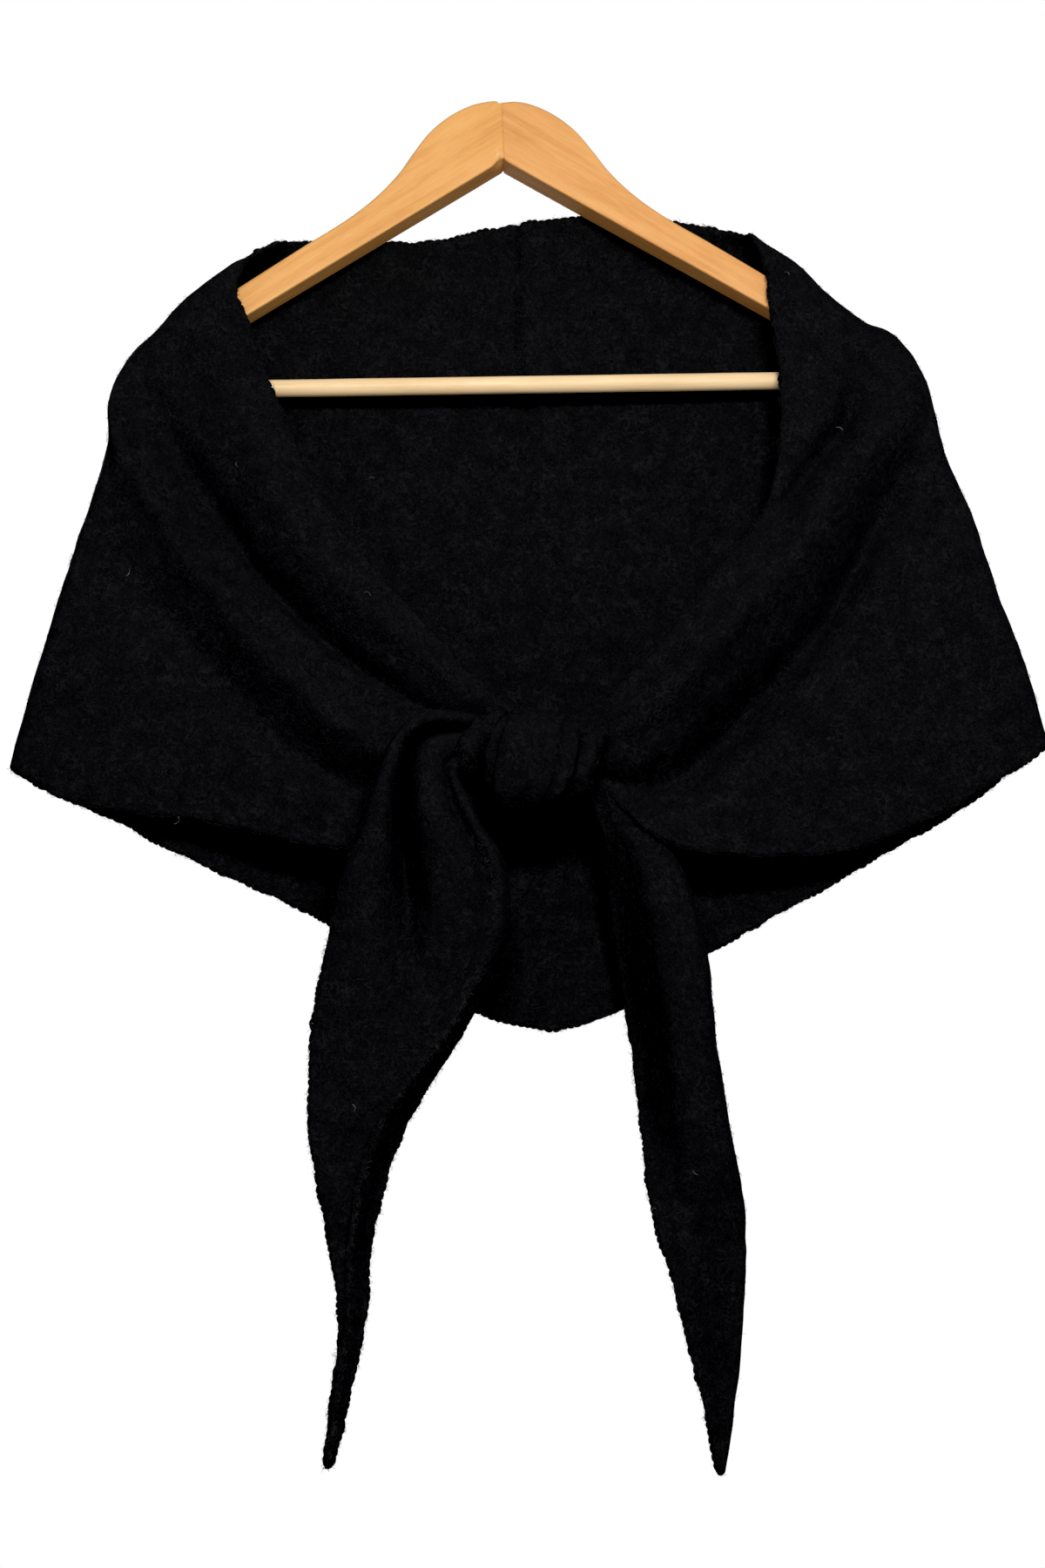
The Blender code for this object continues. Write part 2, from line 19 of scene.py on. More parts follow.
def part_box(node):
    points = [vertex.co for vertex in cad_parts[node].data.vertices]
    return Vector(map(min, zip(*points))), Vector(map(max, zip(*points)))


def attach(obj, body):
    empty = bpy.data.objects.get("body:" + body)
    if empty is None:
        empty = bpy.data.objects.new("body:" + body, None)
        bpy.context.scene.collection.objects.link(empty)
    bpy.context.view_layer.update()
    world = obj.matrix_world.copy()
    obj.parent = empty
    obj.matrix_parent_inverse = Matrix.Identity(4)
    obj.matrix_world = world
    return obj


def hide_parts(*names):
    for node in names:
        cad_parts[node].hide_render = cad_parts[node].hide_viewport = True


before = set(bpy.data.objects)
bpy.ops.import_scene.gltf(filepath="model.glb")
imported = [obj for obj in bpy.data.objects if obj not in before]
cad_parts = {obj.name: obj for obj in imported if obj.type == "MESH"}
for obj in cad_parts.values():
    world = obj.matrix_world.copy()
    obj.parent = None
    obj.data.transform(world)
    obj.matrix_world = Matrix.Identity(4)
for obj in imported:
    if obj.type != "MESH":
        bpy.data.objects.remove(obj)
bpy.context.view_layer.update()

LOG = logging.getLogger("scarf")
Array = np.ndarray
Triple = tuple[float, float, float]
Colour = Triple

MM = 0.001
BODY = "root"

# The knit: its wall, the lumps of the felted face and the waves of its hems. A wave or a wander is
# given as its height and the length over which it changes.
CLOTH_WALL = 2.6
LUMPS = ((0.35, 14.0), (0.22, 6.0))
HEM_WAVE = (0.75, 7.5)

# Grid steps round the rim of a wall, and the side of a lattice of random values
RIM_STEPS = 4
LATTICE = 512

# The yarn along the hems, with the wander of its loops' places and heights and of its own depth
YARN_RADIUS = 0.8
YARN_SIDES = 6
YARN_STEP = 0.9
LOOP_LENGTH = 4.3
LOOP_HEIGHT = 1.0
PLACE_WANDER = (0.7, 11.0)
HEIGHT_WANDER = (0.6, 6.0)
DEPTH_WANDER = (0.5, 5.0)

# Fibres at the hems: how far they start inside the edge, the share of the wall's thickness that
# they spread over, and how far they lean out of the sheet
HEM_SINK = 0.3
HEM_SPREAD = 0.9
HEM_LEAN = 0.5


class Held(Enum):
    """How a stretch of the cloth is held."""

    DRAPED = "draped"
    HUNG = "hung"
    GATHERED = "gathered"


class Side(Enum):
    """The viewer's left or right."""

    LEFT = -1
    RIGHT = 1


def ease(x: Array) -> Array:
    """Rises smoothly from 0 at x = 0 to 1 at x = 1, as 3x^2 - 2x^3."""
    x = np.clip(x, 0.0, 1.0)
    return x * x * (3 - 2 * x)


def unit(vectors: Array) -> Array:
    """The vectors' directions, at length 1."""
    return vectors / np.maximum(np.linalg.norm(vectors, axis=-1, keepdims=True), 1e-12)


def circle(steps: int) -> Array:
    """Angles once round, in even steps."""
    return np.linspace(0, 2 * math.pi, steps, endpoint=False)


def square_to(vectors: Array, along: Array) -> Array:
    """The vectors' directions, less their share along other directions."""
    return unit(vectors - along * (vectors * along).sum(axis=-1, keepdims=True))


def wander(u: Array, v: Array, seed: int) -> Array:
    """Smooth random heights over a plane.

    A square lattice of unit steps holds random values, and between four of them the height is
    their mix by the eased place between them.

    Args:
        u: Places along the first direction, in lattice steps.
        v: Places along the second direction.
        seed: The lattice's own seed.

    Returns:
        Heights from -1 to 1, in the shape of u and v.
    """
    lattice = np.random.default_rng(seed).uniform(-1, 1, (LATTICE, LATTICE))
    u, v = np.broadcast_arrays(u, v)
    i, j = np.floor(u).astype(int), np.floor(v).astype(int)
    a, b = ease(u - i), ease(v - j)
    near = lattice[i % LATTICE, j % LATTICE] * (1 - a) + lattice[(i + 1) % LATTICE, j % LATTICE] * a
    j = j + 1
    far = lattice[i % LATTICE, j % LATTICE] * (1 - a) + lattice[(i + 1) % LATTICE, j % LATTICE] * a
    return near * (1 - b) + far * b


def wander_along(run: Array, size: tuple[float, float], seed: int) -> Array:
    """Smooth random heights along a line, for a height and the length over which it changes."""
    height, length = size
    return height * wander(run / length, np.zeros_like(run), seed)


@dataclass(frozen=True)
class Rows:
    """A short table of sizes, read along a smooth curve through its rows.

    Attributes:
        names: The columns' names, in order.
        rows: The rows, in millimetres where they are places.
        measured: The columns whose straight steps measure the way along the table.
    """

    names: str
    rows: Sequence[Sequence[float]]
    measured: str = "x y z"

    def at(self, share: Array) -> Array:
        """All the columns at each share of the way along the table.

        Each stretch is a cubic whose slope at a row is the mean of the slopes on both sides.

        Args:
            share: Shares of the way, from 0 to 1.

        Returns:
            One row for each share, with the table's columns.
        """
        rows = np.array(self.rows, float)
        places = [i for i, name in enumerate(self.names.split()) if name in self.measured.split()]
        steps = np.linalg.norm(np.diff(rows[:, places], axis=0), axis=1)
        knots = np.concatenate([[0.0], np.cumsum(steps)]) / steps.sum()
        slopes = np.diff(rows, axis=0) / np.diff(knots)[:, None]
        at_rows = np.vstack([slopes[:1], (slopes[1:] + slopes[:-1]) / 2, slopes[-1:]])
        share = np.asarray(share, float)
        i = np.clip(np.searchsorted(knots, share, side="right") - 1, 0, len(knots) - 2)
        span = (knots[i + 1] - knots[i])[..., None]
        t = ((share - knots[i]) / (knots[i + 1] - knots[i]))[..., None]
        return (
            (2 * t**3 - 3 * t**2 + 1) * rows[i]
            + (t**3 - 2 * t**2 + t) * span * at_rows[i]
            + (3 * t**2 - 2 * t**3) * rows[i + 1]
            + (t**3 - t**2) * span * at_rows[i + 1]
        )

    def columns(self, share: Array) -> list[Array]:
        """Each column as an array of its own, at each share of the way."""
        return list(self.at(share).T)


# Side folds, from the neck edge down over the hanger's arm to the corner of the hem.
# front, seam and back are the depths of the front panel, of the fold itself and of the back panel.
LEFT_FOLD = Rows("x z front seam back", (
    (-133, -84.5, -5, 0, 6), (-147, -94, -9.5, 0, 10), (-162, -104, -11, 0, 11.5),
    (-183, -121, -10.5, 0, 10.5), (-201, -139, -9.5, 0, 9.5), (-215, -153, -9, 0, 9),
    (-223, -168, -9, 0, 9), (-225, -190, -10, 0, 10), (-230, -215, -11, -1, 9),
    (-243, -258, -12, -2, 8), (-262, -321, -12, -3, 6), (-281, -393, -11, -4, 4),
))
RIGHT_FOLD = Rows("x z front seam back", (
    (142.5, -83.5, -5, 0, 6), (153, -93, -9.5, 0, 10), (164, -101, -11, 0, 11.5),
    (184, -122, -10.5, 0, 10.5), (206, -140, -9, 0, 9), (219, -146, -9, 0, 9), (230, -158, -9, 0, 9),
    (238, -176, -10, 0, 10), (242, -196, -11, -1, 9), (247, -222, -11, -1, 9), (259, -257, -12, -2, 8),
    (272, -308, -12, -3, 6), (284, -350, -12, -4, 5), (293, -393, -11, -4, 4),
))

# Edges of the two fronts, from the side fold to the knot
LEFT_NECK_EDGE = Rows("x y z", (
    (-133, -5, -84.5), (-137.5, -6.5, -90), (-146, -9, -95.5), (-152.8, -11.2, -103),
    (-156.3, -13, -119), (-148.7, -13, -143), (-139.5, -14, -172), (-125.4, -16, -208),
    (-114.2, -18, -240), (-93, -22, -274), (-67, -28, -308), (-42, -31, -338), (-22, -27, -361),
    (-3, -24, -372),
))
LEFT_HEM = Rows("x y z", (
    (-281, -11, -393), (-250, -12, -412), (-222, -13, -419), (-172, -15, -427), (-135, -20, -438),
    (-97, -26, -445), (-70, -31, -441), (-45, -30, -430), (-26, -26, -418), (-8, -24, -408),
))
RIGHT_NECK_EDGE = Rows("x y z", (
    (142.5, -5, -83.5), (146, -7, -89.5), (148.2, -9, -98), (150.2, -11.3, -109), (151.6, -13, -131),
    (152.5, -13, -146), (154.6, -14, -168), (154.2, -15, -190), (150.5, -16, -225), (141.2, -19, -258),
    (115.8, -24, -290), (77, -31, -338), (52, -32, -364), (32, -26, -377), (5, -24, -378),
))
RIGHT_HEM = Rows("x y z", (
    (293, -11, -393), (262, -12, -413), (239, -13, -426), (205, -14, -441), (177, -16, -451),
    (135, -22, -454), (100, -27, -453), (82, -31, -450), (62, -32, -438), (48, -30, -422),
    (30, -26, -408), (9, -24, -402),
))

# Edges of the back, from the left fold to the right fold
BACK_NECK_EDGE = Rows("x y z", (
    (-133, 6, -84.5), (-127.5, 8.5, -81.2), (-119.5, 10.8, -80), (-107, 12, -80), (-70, 13, -80.5),
    (-41, 14, -80), (0, 15, -71), (37, 14, -66), (93, 13, -68.3), (122, 12, -74.6), (134.5, 9.5, -79),
    (142.5, 6, -83.5),
))
BACK_HEM = Rows("x y z", (
    (-281, 4, -393), (-262, 7, -403), (-237, 9, -414), (-175, 13, -447), (-111, 16, -478),
    (-70, 18, -503), (-29, 19, -530), (15, 19, -541), (54, 19, -529), (103, 17, -500), (158, 14, -471),
    (245, 10, -424), (274, 7, -405), (293, 4, -393),
))

# Ends of the two fronts, where they go into the knot
LEFT_GATHER = Rows("x y z", ((-3, -24, -372), (-5, -24, -390), (-8, -24, -408)))
RIGHT_GATHER = Rows("x y z", ((5, -24, -378), (7, -24, -390), (9, -24, -402)))

# Creases of a panel, each from its start to its end. across runs from the side fold, 0, to the
# knot, 1, and down from the neck edge, 0, to the hem, 1. width is in the same measure as down.
# depth is in millimetres towards the back, so that a ridge has a negative depth.
CREASE_NAMES = "across down width depth"
LEFT_CREASES = (
    # The roll along the neck edge
    (
        (0.03, 0.05, 0.06, 0), (0.12, 0.065, 0.07, -3.5), (0.25, 0.095, 0.075, -6.5),
        (0.44, 0.125, 0.08, -8), (0.61, 0.14, 0.085, -8.5), (0.77, 0.15, 0.09, -7),
        (0.9, 0.15, 0.1, -4), (1, 0.15, 0.1, -1),
    ),
    # The trough under it
    (
        (0.09, 0.255, 0.03, 0), (0.16, 0.262, 0.036, 3.5), (0.24, 0.275, 0.042, 9),
        (0.36, 0.298, 0.048, 11.5), (0.58, 0.328, 0.055, 11.5), (0.74, 0.375, 0.062, 9.5),
        (0.85, 0.42, 0.07, 7), (1, 0.475, 0.08, 1),
    ),
    # The second ridge
    (
        (0.03, 0.355, 0.045, 0), (0.1, 0.375, 0.05, -6.5), (0.18, 0.405, 0.055, -8.5),
        (0.43, 0.515, 0.06, -9), (0.55, 0.555, 0.065, -9), (0.72, 0.655, 0.075, -7.5),
        (1, 0.825, 0.08, -1),
    ),
    # The second trough
    (
        (0.08, 0.515, 0.045, 0), (0.16, 0.565, 0.055, 4.5), (0.34, 0.64, 0.065, 8),
        (0.53, 0.725, 0.07, 9), (0.68, 0.805, 0.07, 8), (0.85, 0.895, 0.07, 5), (1, 0.965, 0.07, 1),
    ),
    # Faint creases in the trough and on the flat below
    ((0.24, 0.3, 0.018, 0), (0.47, 0.35, 0.022, -1.6), (0.8, 0.47, 0.025, 0)),
    ((0.02, 0.62, 0.04, 0), (0.2, 0.69, 0.05, 1.2), (0.4, 0.7, 0.05, 0)),
    ((0.1, 0.14, 0.02, 0), (0.2, 0.15, 0.02, 0.9), (0.34, 0.13, 0.02, 0)),
    ((0.55, 0.8, 0.035, 0), (0.8, 0.9, 0.035, -1.5), (0.97, 0.97, 0.035, 0)),
)
RIGHT_CREASES = (
    # The short valley from the shoulder to the neck edge
    (
        (0.03, 0.185, 0.03, 0), (0.08, 0.21, 0.035, 1), (0.14, 0.222, 0.03, 6), (0.2, 0.215, 0.03, 10),
        (0.33, 0.14, 0.034, 11), (0.44, 0.055, 0.038, 7), (0.52, -0.01, 0.04, 0),
    ),
    # The roll that runs from the shoulder to the knot
    (
        (0.02, 0.37, 0.045, 0), (0.07, 0.36, 0.05, -4), (0.17, 0.315, 0.055, -9),
        (0.36, 0.21, 0.07, -11.5), (0.53, 0.19, 0.085, -12.5), (0.67, 0.215, 0.11, -13),
        (0.77, 0.28, 0.14, -12), (0.88, 0.34, 0.18, -8), (1, 0.36, 0.25, -2),
    ),
    # The deep trough under it
    (
        (0.02, 0.43, 0.035, 0), (0.08, 0.425, 0.048, 5), (0.21, 0.392, 0.06, 11),
        (0.35, 0.385, 0.075, 14), (0.49, 0.43, 0.095, 16), (0.58, 0.51, 0.12, 20),
        (0.65, 0.59, 0.135, 21), (0.81, 0.81, 0.14, 14), (0.95, 0.98, 0.1, 0),
    ),
    # The dimple beside the knot
    ((0.79, 0.28, 0.06, 0), (0.86, 0.33, 0.08, 4), (0.94, 0.34, 0.08, 0)),
    # Faint creases on the flat
    ((0.02, 0.47, 0.025, 0), (0.14, 0.56, 0.03, 2.4), (0.3, 0.62, 0.03, 0)),
    ((0.04, 0.75, 0.06, 0), (0.25, 0.76, 0.06, 1.2), (0.45, 0.8, 0.06, 0)),
)
BACK_CREASES = (
    ((0.12, 1, 0.06, 3), (0.22, 0.65, 0.06, 2), (0.3, 0.35, 0.06, 0)),
    ((0.7, 0.35, 0.06, 0), (0.78, 0.65, 0.06, 2), (0.88, 1, 0.06, 3)),
    ((0.24, 0.16, 0.018, 0), (0.36, 0.14, 0.022, 2.2), (0.5, 0.13, 0.018, 0)),
    ((0.36, 0.55, 0.015, 0), (0.48, 0.548, 0.015, 0.6), (0.6, 0.53, 0.015, 0)),
    ((0.52, 0.07, 0.03, 0), (0.62, 0.11, 0.03, 2.2), (0.72, 0.15, 0.03, 0)),
)

# The crease down the centre of the back: its places across at the neck edge and the hem, its half
# width, its depth, and the two stretches down over which it loses half of that, start and length
CENTRE_CREASE = {
    "top": 0.512, "bottom": 0.495, "half_width": 0.0075, "depth": 2.6,
    "fades": ((0.2, 0.2), (0.6, 0.3)),
}

# Left tail: it comes out of the knot as an arch, widens, and twists down to its tip.
# outer and inner are its two outlines, depth is the place of its front, relief the depth of its
# folds, drift how far those folds lie towards its inner side, arch the share of the arched section
# against the turned one, turn how far its inner strip goes back, and strip that strip's share of
# the width.
LEFT_TAIL = Rows("outer_x outer_z inner_x inner_z depth relief drift arch turn strip", (
    (-26, -379, -27, -400, -43, 3, 0, 1, 2, 0.1), (-38, -377, -33, -404, -46, 7, 0, 1, 2, 0.1),
    (-52, -377, -37, -409, -50, 10, -0.04, 1, 2, 0.1), (-67, -386, -38, -415, -54, 13, -0.1, 1, 2, 0.1),
    (-78, -406, -34, -425, -56, 16, -0.1, 1, 2, 0.1), (-87, -431, -27, -440, -57, 18, -0.05, 1, 3, 0.1),
    (-99, -464, -14, -464, -56, 18, 0.02, 0.9, 4, 0.1),
    (-108, -503, -15, -503, -52, 14, 0.08, 0.55, 8, 0.12),
    (-116, -547, -38, -547, -48, 7, 0.08, 0.2, 12, 0.15),
    (-118, -601, -71, -598, -46, 3, 0, 0, 16, 0.27), (-110, -654, -89, -652, -43.5, 2, 0, 0, 15, 0.48),
    (-105, -697, -94, -696, -41, 1, 0, 0, 9, 0.74), (-110, -735, -103, -735, -38.5, 1, 0, 0, 5, 0.75),
    (-114, -768, -111.5, -768, -37, 0, 0, 0, 2, 0.75),
), measured="outer_x outer_z")

# Right tail: it comes out under the knot and hangs folded double along its right side.
RIGHT_TAIL = Rows("outer_x outer_z inner_x inner_z depth relief layer", (
    (32, -412, 54, -416, -24.7, 1, 4), (41, -434, 68, -436, -24, 2.5, 6),
    (45, -455, 80, -455, -23, 7, 10), (46, -480, 89, -480, -23, 12, 12),
    (50, -515, 95, -515, -23, 15, 13), (55, -555, 97, -555, -23, 15, 13),
    (58, -600, 102, -600, -22, 10, 11), (61, -645, 108, -645, -19, 2, 8),
    (72, -690, 106, -690, -16.5, -4, 8), (80, -730, 101, -730, -14.5, -3, 6),
    (86, -758, 96, -758, -13.5, -1, 3.5), (89, -779, 91.5, -779, -13, 0, 1.6),
), measured="outer_x outer_z")

# Sections across the tails: place is the share of the width, and depth is in shares of the relief.
ARCH_SECTION = Rows("place depth", (
    (0, 0.5), (0.05, 0.05), (0.12, -0.15), (0.19, -0.12), (0.24, 0.12), (0.29, 0.6), (0.335, 1.12),
    (0.36, 1.25), (0.39, 1.15), (0.44, 0.6), (0.5, 0), (0.56, -0.3), (0.65, -0.42), (0.76, -0.25),
    (0.84, 0.15), (0.9, 0.05), (0.95, -0.2), (1, 0.15),
), measured="place")
FOLDED_SECTION = Rows("place depth layer", (
    (0, 1.6, 0), (0.06, 1.42, 0), (0.13, 1.12, 0), (0.2, 0.75, 0), (0.28, 0.25, 0), (0.35, -0.25, 0),
    (0.42, -0.65, 0), (0.5, -0.82, 0), (0.64, -0.88, 0), (0.82, -0.75, 0), (0.93, -0.5, 0.1),
    (1, -0.1, 0.5), (0.93, 0, 0.9), (0.75, 0, 1), (0.55, 0, 1), (0.4, 0, 1),
), measured="place")

# Strands of the knot: the wide wrap, the strand on its left and the narrow band on its right.
# lean is the turn of the strand's width about the view, in degrees.
STRAND_NAMES = "x y z half_width half_depth lean"
KNOT_WRAP = Rows(STRAND_NAMES, (
    (8, -28, -379.5, 18, 3, -6), (9, -40, -381, 20.5, 5, -7), (7.5, -49, -387, 22, 7.5, -8),
    (4.5, -53.5, -396, 23.5, 9, -12), (0.5, -53, -409, 24.5, 9, -14), (-2, -49, -421, 21.5, 8, -12),
    (-1.5, -40, -430, 15, 5.5, -8), (0, -31, -433, 9, 3, -6),
))
KNOT_STRAND = Rows(STRAND_NAMES, (
    (-12, -33, -378, 5, 3, 42), (-15, -43, -379.5, 6.2, 4.2, 42), (-20.5, -50, -385, 6.8, 5, 42),
    (-27, -53, -393.5, 7, 5, 36), (-31.5, -51.5, -402, 6.6, 4.6, 24),
    (-32.5, -46.5, -408, 5.2, 3.6, 12), (-31, -40, -410.5, 3.2, 2.5, 5),
))
KNOT_BAND = Rows(STRAND_NAMES, (
    (41, -37, -386, 3.5, 2.5, -20), (38, -43, -390, 5.5, 4, -22), (34.3, -48.5, -398, 6.3, 4.8, -24),
    (30.2, -50.5, -409, 6.3, 4.8, -10), (28, -47, -419, 5.6, 4.2, 0), (26, -40, -427, 4, 3, 0),
    (26, -33, -429, 2.6, 2.2, 0),
))

# Outline of an arm of the hanger, from the mitre to its end, as heights of its top and underside
ARM = Rows("x top underside", (
    (0, 0, -38), (8, -0.5, -43), (17, -2.5, -48.7), (30, -9, -56.8), (42, -19, -64.3), (52, -32, -70.5),
    (61, -45, -76.1), (74, -59, -84.3), (90, -72, -94.3), (117, -89.5, -111.1), (152, -112.5, -133),
    (176, -128.5, -148), (188, -136.5, -157), (196, -142, -167), (204, -148, -178), (210, -154, -183.5),
    (216, -163, -181.5), (219, -172, -177),
), measured="x top")

# Chips of the mitre's front edges: along the arm, height, reach along the arm, reach in height and
# depth, which is up into the underside or, as a negative depth, down into the top
MITRE_CHIPS = {
    Side.LEFT: ((3.0, -39.5, 3.4, 2.4, 2.2), (1.2, 0.0, 1.3, 2.0, -1.4)),
    Side.RIGHT: ((0.0, -38.0, 2.0, 1.6, 0.9), (0.0, 0.0, 6.0, 3.0, -1.0)),
}
CHIP_THROUGH = 6.0

# Pale stray fibres on the face of the cloth: where each one lies, across and in height, and how
# far round that place the frontmost cloth is looked for
STRAY_FIBRES = (
    (162, -115.4), (184, -207.1), (-82.2, -308.6), (-189.2, -425), (-96.9, -586.5), (60.8, -646.9),
    (83.9, -627), (-154.6, -229), (-217.8, -287.4), (-79, -221.7),
)
STRAY_SEARCH = 3.0


def outward(points: Array, quads: Array, triangles: Array) -> tuple[Array, Array]:
    """Turns the faces of a closed skin outwards.

    The skin's signed volume is the sum of a . (b x c) over its triangles, and it is negative when
    they face inwards.

    Args:
        points: The skin's corners.
        quads: Corner numbers of its four-sided faces.
        triangles: Corner numbers of its three-sided faces.

    Returns:
        The four-sided and the three-sided faces, facing outwards.
    """
    corners = np.concatenate([quads[:, :3], quads[:, [0, 2, 3]], triangles])
    a, b, c = (points[corners[:, i]] for i in range(3))
    if (a * np.cross(b, c)).sum() < 0:
        return quads[:, ::-1], triangles[:, ::-1]
    return quads, triangles


def put(name: str, data: bpy.types.ID) -> bpy.types.Object:
    """Puts an object into the scene.

    Args:
        name: The object's name.
        data: Its mesh, light or camera.

    Returns:
        The new object.
    """
    thing = bpy.data.objects.new(name, data)
    bpy.context.scene.collection.objects.link(thing)
    return thing


NO_TRIANGLES = np.zeros((0, 3), int)


def make_piece(
    name: str, points: Array, quads: Array, triangles: Array = NO_TRIANGLES
) -> bpy.types.Object:
    """Puts a closed skin into the scene as one smooth piece.

    Args:
        name: The piece's name.
        points: Corners in millimetres.
        quads: Corner numbers of its four-sided faces.
        triangles: Corner numbers of its three-sided faces.

    Returns:
        The new object, at the origin.
    """
    quads, triangles = outward(points, quads, triangles)
    corners = np.concatenate([quads.ravel(), triangles.ravel()])
    starts = [np.arange(len(quads)) * 4, quads.size + np.arange(len(triangles)) * 3]
    mesh = bpy.data.meshes.new(name)
    mesh.vertices.add(len(points))
    mesh.vertices.foreach_set("co", (points * MM).astype(np.float32).ravel())
    mesh.loops.add(len(corners))
    mesh.loops.foreach_set("vertex_index", corners.astype(np.int32))
    mesh.polygons.add(len(quads) + len(triangles))
    mesh.polygons.foreach_set("loop_start", np.concatenate(starts).astype(np.int32))
    mesh.update(calc_edges=True)
    mesh.shade_smooth()
    LOG.info("%s: %d triangles", name, 2 * len(quads) + len(triangles))
    return put(name, mesh)


def between(rows: Array, following: Array) -> Array:
    """Four-sided faces between closed rows of corner numbers and the rows that follow them."""
    beside, beyond = np.roll(rows, -1, axis=1), np.roll(following, -1, axis=1)
    return np.stack([rows, beside, beyond, following], axis=-1).reshape(-1, 4)


def ring_piece(name: str, rings: Array) -> bpy.types.Object:
    """Makes a closed skin over rings of points, with a fan over each end.

    Args:
        name: The piece's name.
        rings: The rings, as a grid of places in millimetres.

    Returns:
        The skin's object.
    """
    count, sides = rings.shape[:2]
    index = np.arange(count * sides).reshape(count, sides)
    beside = np.roll(index, -1, axis=1)
    start = np.stack([np.full(sides, index.size), beside[0], index[0]], axis=-1)
    end = np.stack([np.full(sides, index.size + 1), index[-1], beside[-1]], axis=-1)
    points = np.concatenate([rings.reshape(-1, 3), rings[[0, -1]].mean(axis=1)])
    return make_piece(name, points, between(index[:-1], index[1:]), np.concatenate([start, end]))


def rings_round(centre: Array, first: Array, second: Array, radius: float, sides: int) -> Array:
    """Rings of points round places, each in the plane of its two directions.

    Args:
        centre: The places.
        first: The direction of each ring's first point.
        second: The direction a quarter of the way round.
        radius: The rings' radius.
        sides: The points of a ring.

    Returns:
        The points, ring by ring.
    """
    angle = circle(sides)[None, :, None]
    ring = first[:, None] * np.cos(angle) + second[:, None] * np.sin(angle)
    return centre[:, None] + ring * radius


def cell_areas(points: Array) -> Array:
    """The area of each cell of a grid of places, from the two sides at its first corner."""
    a, b = points[1:, :-1] - points[:-1, :-1], points[:-1, 1:] - points[:-1, :-1]
    return np.linalg.norm(np.cross(a, b), axis=-1)


